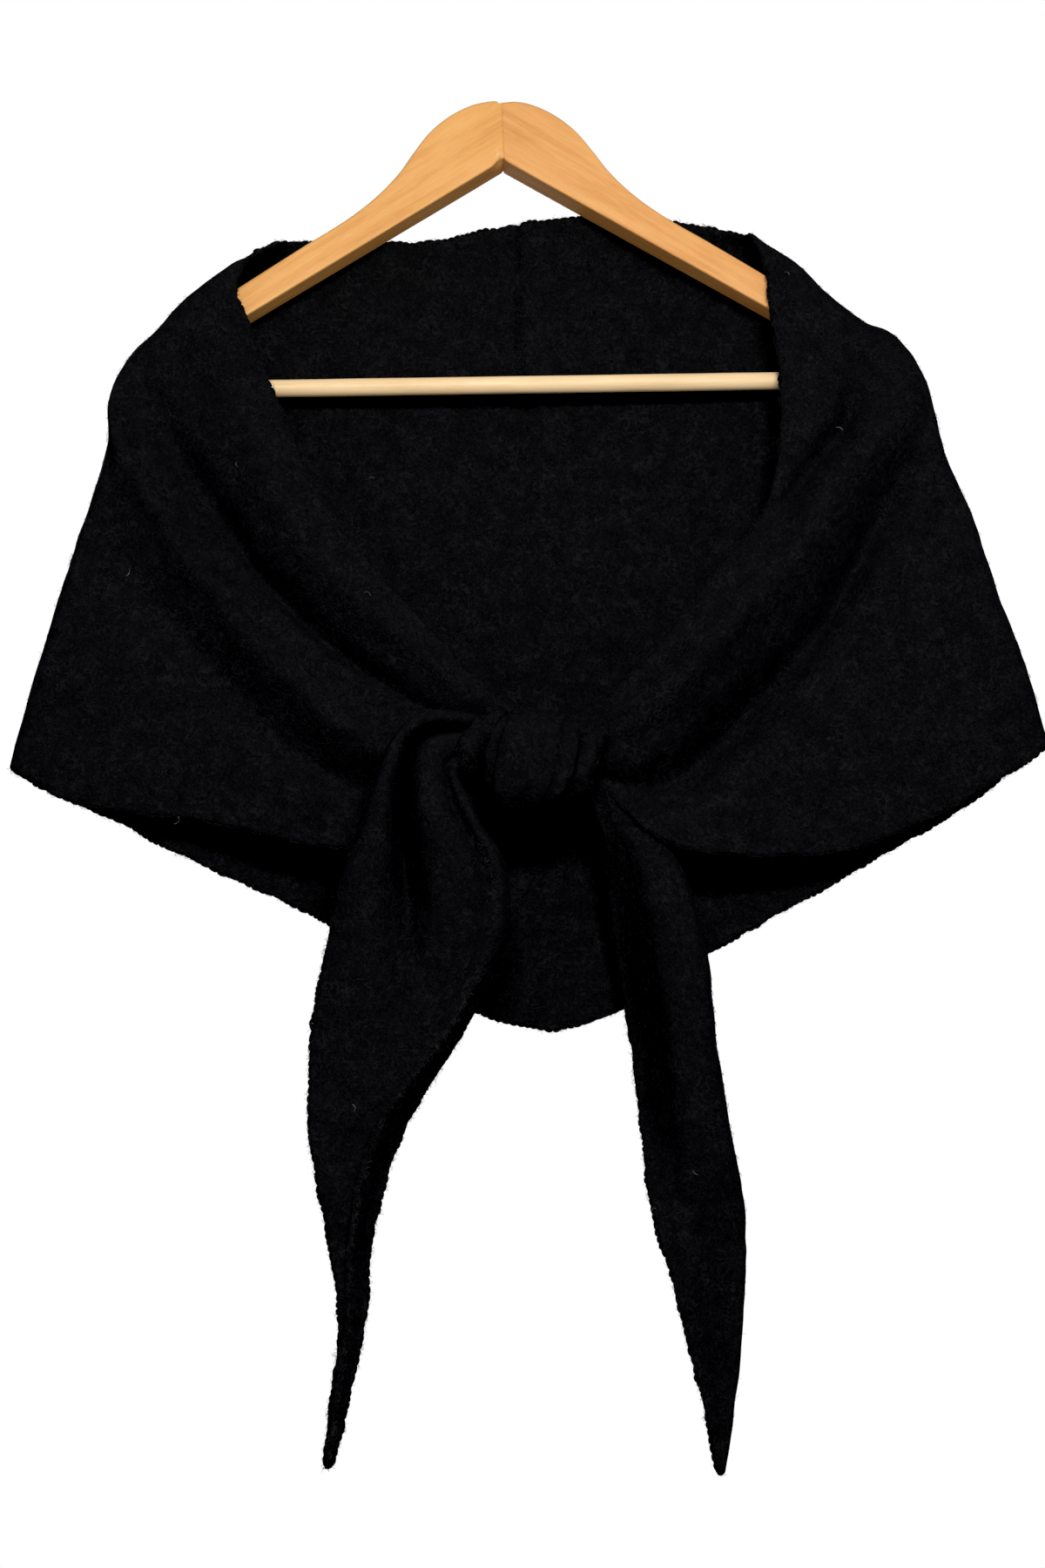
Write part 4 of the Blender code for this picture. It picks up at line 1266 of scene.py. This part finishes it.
@dataclass
class Socket:
    """An output of a shader node, on which arithmetic adds Math nodes."""

    graph: "Graph"
    output: bpy.types.NodeSocket

    def _math(self, operation: str, *values: Value) -> "Socket":
        """The result of a Math node on these values."""
        return self.graph.node("ShaderNodeMath", dict(enumerate(values)), operation=operation)

    def __add__(self, other: Value) -> "Socket":
        """self + other"""
        return self._math("ADD", self, other)

    def __radd__(self, other: Value) -> "Socket":
        """other + self"""
        return self._math("ADD", other, self)

    def __sub__(self, other: Value) -> "Socket":
        """self - other"""
        return self._math("SUBTRACT", self, other)

    def __rsub__(self, other: Value) -> "Socket":
        """other - self"""
        return self._math("SUBTRACT", other, self)

    def __mul__(self, other: Value) -> "Socket":
        """self * other"""
        return self._math("MULTIPLY", self, other)

    def __rmul__(self, other: Value) -> "Socket":
        """other * self"""
        return self._math("MULTIPLY", other, self)

    def __abs__(self) -> "Socket":
        """abs(self)"""
        return self._math("ABSOLUTE", self)

    def above(self, low: float, high: float) -> "Socket":
        """Rises smoothly from 0 at low to 1 at high."""
        inputs = {"Value": self, "From Min": low, "From Max": high}
        return self.graph.node("ShaderNodeMapRange", inputs, interpolation_type="SMOOTHSTEP")


@dataclass
class Graph:
    """The node tree of a material or of the world."""

    owner: Union[bpy.types.Material, bpy.types.World]

    def __post_init__(self) -> None:
        """Starts an empty tree."""
        self.owner.use_nodes = True
        self.tree = self.owner.node_tree
        self.tree.nodes.clear()

    def node(
        self,
        kind: str,
        inputs: Mapping[Union[str, int], Value],
        output: Union[str, int] = 0,
        stops: Sequence[tuple[float, Colour]] = (),
        **settings: object,
    ) -> Socket:
        """Adds a node.

        Args:
            kind: The node's type.
            inputs: Values or links of its sockets, by name or number.
            output: The output that is wanted, by name or number.
            stops: The places and colours of a ramp.
            settings: The node's own settings, which are set before its sockets.

        Returns:
            The wanted output.
        """
        node = self.tree.nodes.new(kind)
        for key, value in settings.items():
            setattr(node, key, value)
        if stops:
            ramp = node.color_ramp.elements
            while len(ramp) < len(stops):
                ramp.new(0.5)
            for element, (place, colour) in zip(ramp, stops):
                element.position = place
                element.color = (*colour, 1.0)
        for key, value in inputs.items():
            socket = node.inputs[key]
            if isinstance(value, Socket):
                self.tree.links.new(value.output, socket)
            elif socket.type == "RGBA":
                socket.default_value = (*value, 1.0)
            else:
                socket.default_value = value
        return Socket(self, node.outputs[output])

    def place(self) -> Socket:
        """The place on the piece, in its Object coordinates."""
        return self.node("ShaderNodeTexCoord", {}, output="Object")

    def noise(self, place: Socket, scale: float, **inputs: float) -> Socket:
        """Fractal noise at a place, from 0 to 1."""
        named = {key.title(): value for key, value in inputs.items()}
        return self.node("ShaderNodeTexNoise", {"Vector": place, "Scale": scale, **named})

    def mixed(self, factor: Value, first: Value, second: Value) -> Socket:
        """A colour from first, at factor 0, to second, at factor 1."""
        inputs = {0: factor, 6: first, 7: second}
        return self.node("ShaderNodeMix", inputs, output=2, data_type="RGBA")

    def bump(self, height: Value, strength: float, distance: float) -> Socket:
        """The normal over a relief of this height."""
        inputs = {"Height": height, "Strength": strength, "Distance": distance}
        return self.node("ShaderNodeBump", inputs, output="Normal")

    def end(self, kind: str, shader: Socket) -> None:
        """Links a shader to an output node of this kind."""
        end = self.tree.nodes.new(kind)
        self.tree.links.new(shader.output, end.inputs["Surface"])

    def finish(self, **inputs: Value) -> bpy.types.Material:
        """Ends the tree in a Principled shader.

        Args:
            inputs: Values or links of its sockets, such as Base_Color.

        Returns:
            The tree's material.
        """
        named = {key.replace("_", " "): value for key, value in inputs.items()}
        self.end("ShaderNodeOutputMaterial", self.node("ShaderNodeBsdfPrincipled", named))
        return self.owner


@dataclass(frozen=True)
class BrushedKnit:
    """The finish of the cloth: near-black felted knit with curled fibres on its face.

    Attributes:
        name: The material's name.
        ground: The colour between the fibres.
        fibre: The colour of the fibres.
        curl_scale: Thick curls in a metre of cloth.
        wisp_scale: Thin curls, which lie between the patches of thick ones.
        fine_scale: The finer fuzz.
        patch_scale: The patches of thick curls.
        mottle_scale: Lighter and darker spots of the felt.
        thinness: How thin a curl is, against the step of its noise.
        relief: The height of the bump in metres.
    """

    name: str = "brushed_knit"
    ground: Colour = (0.0038, 0.00385, 0.0041)
    fibre: Colour = (0.0158, 0.0159, 0.0170)
    curl_scale: float = 170.0
    wisp_scale: float = 330.0
    fine_scale: float = 900.0
    patch_scale: float = 60.0
    mottle_scale: float = 110.0
    thinness: float = 13.0
    relief: float = 0.0008

    def material(self) -> bpy.types.Material:
        """Builds the material, on Object coordinates.

        Returns:
            The material.
        """
        graph = Graph(bpy.data.materials.new(self.name))
        place = graph.place()
        curls = graph.noise(place, self.curl_scale, detail=2.0, roughness=0.5, distortion=1.4)
        wisps = graph.noise(place, self.wisp_scale, detail=2.0, roughness=0.5, distortion=1.8)
        fine = graph.noise(place, self.fine_scale, detail=2.0, roughness=0.6, distortion=0.8)
        patches = graph.noise(place, self.patch_scale, detail=2.0, roughness=0.6)
        mottle = graph.noise(place, self.mottle_scale, detail=2.0, distortion=0.6)
        thick = (1 - abs(curls - 0.5) * self.thinness).above(0.0, 1.0) * patches.above(0.38, 0.60)
        thin = (1 - abs(wisps - 0.5) * self.thinness).above(0.0, 1.0) * (1 - patches).above(0.34, 0.60)
        height = thick * 0.4 + thin * 0.35 + fine * 0.45 + mottle * 0.4
        share = thick * 0.30 + thin * 0.26 + (mottle - 0.5) * 0.3 + (fine - 0.5) * 0.75
        colour = graph.mixed(share.above(-0.35, 0.75), self.ground, self.fibre)
        return graph.finish(
            Base_Color=colour,
            Roughness=0.95,
            Specular_IOR_Level=0.01,
            Sheen_Weight=0.006,
            Sheen_Roughness=0.5,
            Sheen_Tint=(0.85, 0.85, 1.0),
            Normal=graph.bump(height, 0.9, self.relief),
        )


@dataclass(frozen=True)
class Fibre:
    """The finish of loose fibres, which are darker in some places than in others."""

    name: str = "loose_fibre"
    dark: Colour = (0.0085, 0.0084, 0.0092)
    pale: Colour = (0.0240, 0.0237, 0.0255)

    def material(self) -> bpy.types.Material:
        """Builds the material, on Object coordinates.

        Returns:
            The material.
        """
        graph = Graph(bpy.data.materials.new(self.name))
        shade = graph.noise(graph.place(), 160.0, detail=1.0)
        colour = graph.mixed(shade.above(0.40, 0.65), self.dark, self.pale)
        return graph.finish(Base_Color=colour, Roughness=0.8, Specular_IOR_Level=0.1)


@dataclass(frozen=True)
class Wood:
    """The finish of the hanger: varnished wood with its grain along one direction.

    Attributes:
        name: The material's name.
        pale: The colour of the ground.
        dark: The colour of the grain.
        slope: The angle of the grain below the horizontal, in degrees.
        streaks: Grain lines in a metre across the grain.
        coat: The varnish's weight.
    """

    name: str
    pale: Colour
    dark: Colour
    slope: float
    streaks: float = 260.0
    coat: float = 0.08

    def material(self) -> bpy.types.Material:
        """Builds the material, on Object coordinates turned along the grain.

        Returns:
            The material.
        """
        graph = Graph(bpy.data.materials.new(self.name))
        turn = {"Vector": graph.place(), "Rotation": (0.0, math.radians(self.slope), 0.0)}
        turned = graph.node("ShaderNodeMapping", turn)
        long = graph.node("ShaderNodeMapping", {"Vector": turned, "Scale": (0.06, 1.0, 1.0)})
        wavy = graph.node("ShaderNodeMapping", {"Vector": turned, "Scale": (0.35, 1.0, 1.0)})
        grain = graph.noise(long, self.streaks, detail=5.0, roughness=0.6, distortion=0.3)
        pores = graph.noise(long, self.streaks * 6, detail=3.0, roughness=0.7)
        broad = graph.noise(wavy, 18.0, detail=2.0, distortion=0.8)
        share = grain * 0.55 + broad * 0.5 + (pores - 0.5) * 0.35
        colour = graph.mixed(share.above(0.35, 0.85), self.pale, self.dark)
        return graph.finish(
            Base_Color=colour,
            Roughness=(0.42 + (grain - 0.5) * 0.2),
            Specular_IOR_Level=0.15,
            Coat_Weight=self.coat,
            Coat_Roughness=0.35,
            Normal=graph.bump(pores * 0.6 + grain, 0.25, 0.0003),
        )


@dataclass
class Scarf:
    """The whole scarf and its fibres: a pile on its faces, wisps at its hems and a few strays.

    The numbers say how many fibres stand on the shawl's outer face, its inner face, its hem, a
    tail's outer face with half as many on its inner one, a tail's hem, a strand of the knot, and
    the turned edge of the left tail, whose paler fibres are a painted highlight along that edge.
    tail_flat is the cut that shows in a tail, in metres.
    """

    knit: BrushedKnit = BrushedKnit()
    loose: Fibre = Fibre()
    lint: Fibre = Fibre("pale_lint", (0.16, 0.16, 0.18), (0.45, 0.45, 0.48))
    # Paler fibres for the left tail's turned edge: a painted highlight along its rolled lip
    edge: Fibre = Fibre("painted_highlight_edge_fuzz", (0.020, 0.020, 0.021), (0.050, 0.050, 0.052))
    pile: Pile = Pile()
    wisps: Pile = Pile(length=3.4, radius=0.13, lift=(0.9, 0.4, 0.1), curl=1.4)
    strays: Pile = Pile(length=7.0, radius=0.11, lift=(0.25, 0.05, 0.0), curl=0.9, sink=-0.3)
    face_fibres: int = 10500
    lining_fibres: int = 8500
    hem_fibres: int = 4200
    tail_fibres: int = 1500
    tail_hem_fibres: int = 1900
    strand_fibres: int = 900
    edge_fibres: int = 520
    tail_flat: tuple[float, float] = (0.12, 0.41)

    @staticmethod
    def dress(material: bpy.types.Material, pieces: Sequence[bpy.types.Object]) -> None:
        """Gives pieces their finish and their body.

        Args:
            material: The finish.
            pieces: The pieces.
        """
        for piece in pieces:
            piece.data.materials.append(material)
            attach(piece, BODY)

    def add_lint(self, walls: Sequence[Wall]) -> bpy.types.Object:
        """Lays the pale stray fibres on the frontmost cloth at their places.

        Args:
            walls: The walls that they may lie on.

        Returns:
            The fibres' object.
        """
        cloth = np.concatenate([f.reshape(-1, 3) for w in walls for f in (w.outer, w.inner)])
        spots = np.array(STRAY_FIBRES, float)
        aside = np.linalg.norm(cloth[None, :, ::2] - spots[:, None], axis=-1)
        depth = np.where(aside < STRAY_SEARCH, cloth[None, :, 1], np.inf).min(axis=1)
        places = np.stack([spots[:, 0], depth, spots[:, 1]], axis=1)
        front = np.tile([0.0, -1.0, 0.0], (len(spots), 1))
        level = np.tile([1.0, 0.0, 0.0], (len(spots), 1))
        return self.strays.grow("pale_lint", Roots(places, front, level), 8)

    @staticmethod
    def face(wall: Wall, count: int, outer: bool, seed: int) -> Roots:
        """Roots over one face of a wall.

        Args:
            wall: The wall.
            count: How many roots.
            outer: Whether they stand on its outer face.
            seed: Their seed.

        Returns:
            The roots.
        """
        points = wall.outer if outer else wall.inner
        normals = wall.normals if outer else -wall.normals
        return Roots.over(points, normals, wall.along, count, seed)

    def build(self) -> None:
        """Makes every stretch of the cloth and its fibres, and logs the area of each sheet."""
        knit, loose, lint = (f.material() for f in (self.knit, self.loose, self.lint))
        shawl = Shawl()
        wall = shawl.wall()
        tails = {side: Tail(side).wall() for side in Side}
        cloth = wall.build()
        fuzz = [
            self.pile.grow("shawl_face_fibres", self.face(wall, self.face_fibres, True, 1), 2),
            self.pile.grow("shawl_lining_fibres", self.face(wall, self.lining_fibres, False, 3), 4),
            self.wisps.grow("shawl_hem_fibres", Roots.along_hem(wall, self.hem_fibres, 5), 6),
        ]
        yarn = wall.selvedge()
        specks = self.add_lint([wall, *tails.values()])
        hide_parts("back_panel", "front_left", "front_right")
        arms = ["arm_left_wood", "arm_right_wood"]
        with_it = [*fuzz, yarn, specks]
        self.declare(cloth, wall.area(), shawl.flat, Held.DRAPED, arms, with_it)
        self.dress(knit, (cloth, yarn))
        self.dress(loose, fuzz)
        self.dress(lint, (specks,))
        for side, tail in tails.items():
            self.build_tail(side, tail, knit, loose)
        self.build_knot(knit, loose)

    def build_tail(
        self, side: Side, wall: Wall, knit: bpy.types.Material, loose: bpy.types.Material
    ) -> None:
        """Makes one end of the scarf, the yarn along its hem and its fibres.

        Args:
            side: The viewer's side that it hangs on.
            wall: Its cloth.
            knit: The finish of the cloth.
            loose: The finish of the fibres.
        """
        cloth, yarn = wall.build(), wall.selvedge()
        seed = 40 + 10 * side.value
        outer = self.face(wall, self.tail_fibres, True, seed)
        inner = self.face(wall, self.tail_fibres // 2, False, seed + 1)
        hem = Roots.along_hem(wall, self.tail_hem_fibres, seed + 2)
        fuzz = [
            self.pile.grow(wall.name + "_fibres", Roots.joined([outer, inner]), seed + 3),
            self.wisps.grow(wall.name + "_hem_fibres", hem, seed + 4),
        ]
        turned = []
        if side is Side.LEFT:
            roots = Tail(side).turned_edge(wall, self.edge_fibres, seed + 5)
            turned.append(self.pile.grow(wall.name + "_edge_fibres", roots, seed + 6))
        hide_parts(f"tail_{side.name.lower()}")
        with_it, wrap = [*fuzz, *turned, yarn], ["knot_wrap_cloth"]
        self.declare(cloth, wall.area(), self.tail_flat, Held.HUNG, wrap, with_it)
        self.dress(knit, (cloth, yarn))
        self.dress(loose, fuzz)
        if turned:
            # The turned edge's fibres get the paler finish, a painted highlight along the lip
            self.dress(self.edge.material(), turned)

    def build_knot(self, knit: bpy.types.Material, loose: bpy.types.Material) -> None:
        """Makes the three strands of the knot and their fibres.

        Args:
            knit: The finish of the cloth.
            loose: The finish of the fibres.
        """
        strands = (
            Strand("knot_wrap_cloth", KNOT_WRAP, folds=7, fold_depth=0.16, seed=51),
            Strand("knot_strand_cloth", KNOT_STRAND, folds=3, fold_depth=0.10, seed=52),
            Strand("knot_band_cloth", KNOT_BAND, folds=3, fold_depth=0.08, seed=53),
        )
        for number, strand in enumerate(strands):
            cloth = ring_piece(strand.name, strand.points)
            grids = (strand.points, strand.normals, strand.along)
            roots = Roots.over(*grids, self.strand_fibres, 60 + number)
            fuzz = self.pile.grow(strand.name + "_fibres", roots, 70 + number)
            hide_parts(strand.name.removesuffix("_cloth"))
            area = strand.area()
            flat = (math.sqrt(area), math.sqrt(area))
            self.declare(cloth, area, flat, Held.GATHERED, ["shawl"], [fuzz])
            self.dress(knit, (cloth,))
            self.dress(loose, (fuzz,))

    @staticmethod
    def declare(
        piece: bpy.types.Object,
        area: float,
        flat: tuple[float, float],
        held: Held,
        rests_on: Sequence[str],
        with_pieces: Sequence[bpy.types.Object],
    ) -> None:
        """Logs the area of cloth in a sheet.

        Args:
            piece: The sheet.
            area: The area of what shows, in square metres.
            flat: The width and length that it was cut to, in metres; not used.
            held: How it is held; not used.
            rests_on: The names of the pieces that it rests on; not used.
            with_pieces: The pieces that move with it; not used.
        """
        LOG.info("%s: %.4f square metres of cloth", piece.name, area)


@dataclass(frozen=True)
class Timber:
    """The hanger's pieces in their finishes."""

    left: Wood = Wood("wood_left", (0.79, 0.415, 0.138), (0.60, 0.255, 0.065), 33.0)
    right: Wood = Wood("wood_right", (0.77, 0.39, 0.134), (0.58, 0.24, 0.064), -33.0)
    rod: Wood = Wood("wood_bar", (0.89, 0.66, 0.385), (0.74, 0.49, 0.235), 0.0, 420.0)

    def build(self) -> None:
        """Makes the arms and the bar, each in place of its solid."""
        hanger = Hanger()
        pieces = (
            (hanger.arm(Side.LEFT), "hanger_arm_left", "hanger_wood", self.left),
            (hanger.arm(Side.RIGHT), "hanger_arm_right", "hanger_wood", self.right),
            (hanger.bar(), "hanger_bar", "bar_wood", self.rod),
        )
        for piece, node, slot, wood in pieces:
            piece.data.materials.append(wood.material())
            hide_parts(node)
            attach(piece, BODY)


@dataclass(frozen=True)
class Studio:
    """The camera at the photograph's viewing angle, soft studio light and a pale floor.

    Attributes:
        place: The camera's place in metres.
        yaw: Its turn to the left, in degrees.
        pitch: Its tilt upwards.
        roll: Its turn about the view.
        focal_pixels: Its focal length, in pixels of a picture picture_height high.
        picture_height: The photograph's height in pixels.
        sensor_height: The sensor's height in millimetres.
        floor_height: The floor's height in metres.
        floor_sides: The corners of its round edge.
        floor_radius: Its radius.
        floor_colour: Its colour.
        key_place: The place of the light in front.
        key_size: Its width and height.
        key_power: Its power in watts.
        rear_place: The place of the light behind, which shows the back.
        rear_size: Its width and height.
        rear_power: Its power in watts.
        target: The place that both shine at.
        front_light: The strength of the sky in front of the scarf.
        rear_light: Its strength behind the scarf.
        sky_turn: The place from front to back, against 1, where the sky has turned from one strength
            to the other; it starts as far in front.
        black_level: The brightness that is shown as black, as the photograph does.
    """

    place: Triple = (-0.069, -1.398, -0.713)
    yaw: float = -2.8
    pitch: float = 12.3
    roll: float = -1.9
    focal_pixels: float = 2967.0
    picture_height: float = 1800.0
    sensor_height: float = 36.0
    floor_height: float = -1.3
    floor_sides: int = 96
    floor_radius: float = 2.2
    floor_colour: Colour = (0.86, 0.86, 0.86)
    key_place: Triple = (0.08, -1.2, -0.1)
    key_size: tuple[float, float] = (0.6, 0.22)
    key_power: float = 13.2
    rear_place: Triple = (-0.35, 1.3, 0.35)
    rear_size: tuple[float, float] = (0.9, 0.6)
    rear_power: float = 24.0
    target: Triple = (0.0, 0.0, -0.25)
    front_light: float = 0.34
    rear_light: float = 0.10
    sky_turn: float = 0.8
    black_level: float = 0.0048

    def camera(self) -> None:
        """Puts the camera in place: turned left, tilted up from the level, and turned about the view."""
        camera = bpy.data.cameras.new("camera")
        camera.sensor_fit = "VERTICAL"
        camera.sensor_height = self.sensor_height
        camera.lens = self.focal_pixels / self.picture_height * self.sensor_height
        holder = put("camera", camera)
        matrix = Matrix.Translation(self.place)
        for degrees, axis in ((self.yaw, "Z"), (90.0 + self.pitch, "X"), (self.roll, "Z")):
            matrix = matrix @ Matrix.Rotation(math.radians(degrees), 4, axis)
        holder.matrix_world = matrix
        bpy.context.scene.camera = holder

    def lamp(self, name: str, place: Triple, size: tuple[float, float], power: float) -> None:
        """Hangs a soft oblong light that shines at the target.

        Args:
            name: Its name.
            place: Its place in metres.
            size: Its width and height.
            power: Its power in watts.
        """
        light = bpy.data.lights.new(name, "AREA")
        light.shape = "RECTANGLE"
        light.size, light.size_y = size
        light.energy = power
        lamp = put(name, light)
        lamp.location = place
        aim = Vector(self.target) - Vector(place)
        lamp.rotation_euler = aim.to_track_quat("-Z", "Y").to_euler()

    def lights(self) -> None:
        """Hangs a soft light in front and one behind, and fills in from a sky brighter in front."""
        self.lamp("key", self.key_place, self.key_size, self.key_power)
        self.lamp("rear", self.rear_place, self.rear_size, self.rear_power)
        world = bpy.data.worlds.new("studio")
        bpy.context.scene.world = world
        graph = Graph(world)
        sight = graph.node("ShaderNodeLightPath", {}, output="Is Camera Ray")
        place = graph.node("ShaderNodeTexCoord", {}, output="Generated")
        depth = graph.node("ShaderNodeSeparateXYZ", {"Vector": place}, output="Y")
        reach = {"Value": depth, "From Min": -self.sky_turn, "From Max": self.sky_turn}
        strengths = {"To Min": self.front_light, "To Max": self.rear_light}
        grade = graph.node("ShaderNodeMapRange", {**reach, **strengths})
        lit = {"Factor": sight, "A": grade, "B": 1.0}
        strength = graph.node("ShaderNodeMix", lit, data_type="FLOAT")
        sky = {"Color": (1.0, 1.0, 1.0), "Strength": strength}
        graph.end("ShaderNodeOutputWorld", graph.node("ShaderNodeBackground", sky))

    def floor(self) -> None:
        """Lays a pale round floor well below the scarf, which throws no light back on it."""
        angle = circle(self.floor_sides)
        ring = np.stack([np.cos(angle), np.sin(angle), np.zeros_like(angle)], axis=1)
        points = ring * self.floor_radius
        points[:, 2] = self.floor_height
        mesh = bpy.data.meshes.new("floor")
        mesh.from_pydata(points.tolist(), [], [list(range(len(angle)))])
        floor = put("floor", mesh)
        graph = Graph(bpy.data.materials.new("pale_floor"))
        mesh.materials.append(graph.finish(Base_Color=self.floor_colour, Roughness=0.8))
        floor.visible_diffuse = False

    def build(self) -> None:
        """Sets up the camera, the lights and the floor, and plain colours with a deep black."""
        self.camera()
        self.lights()
        self.floor()
        view = bpy.context.scene.view_settings
        view.view_transform = "Standard"
        view.use_curve_mapping = True
        view.curve_mapping.black_level = (self.black_level,) * 3
        view.curve_mapping.update()


def main() -> None:
    """Builds the studio, the hanger and the scarf."""
    logging.basicConfig(level=logging.INFO, format="%(message)s", stream=sys.stdout)
    Studio().build()
    Timber().build()
    Scarf().build()


if __name__ == "__main__":
    main()
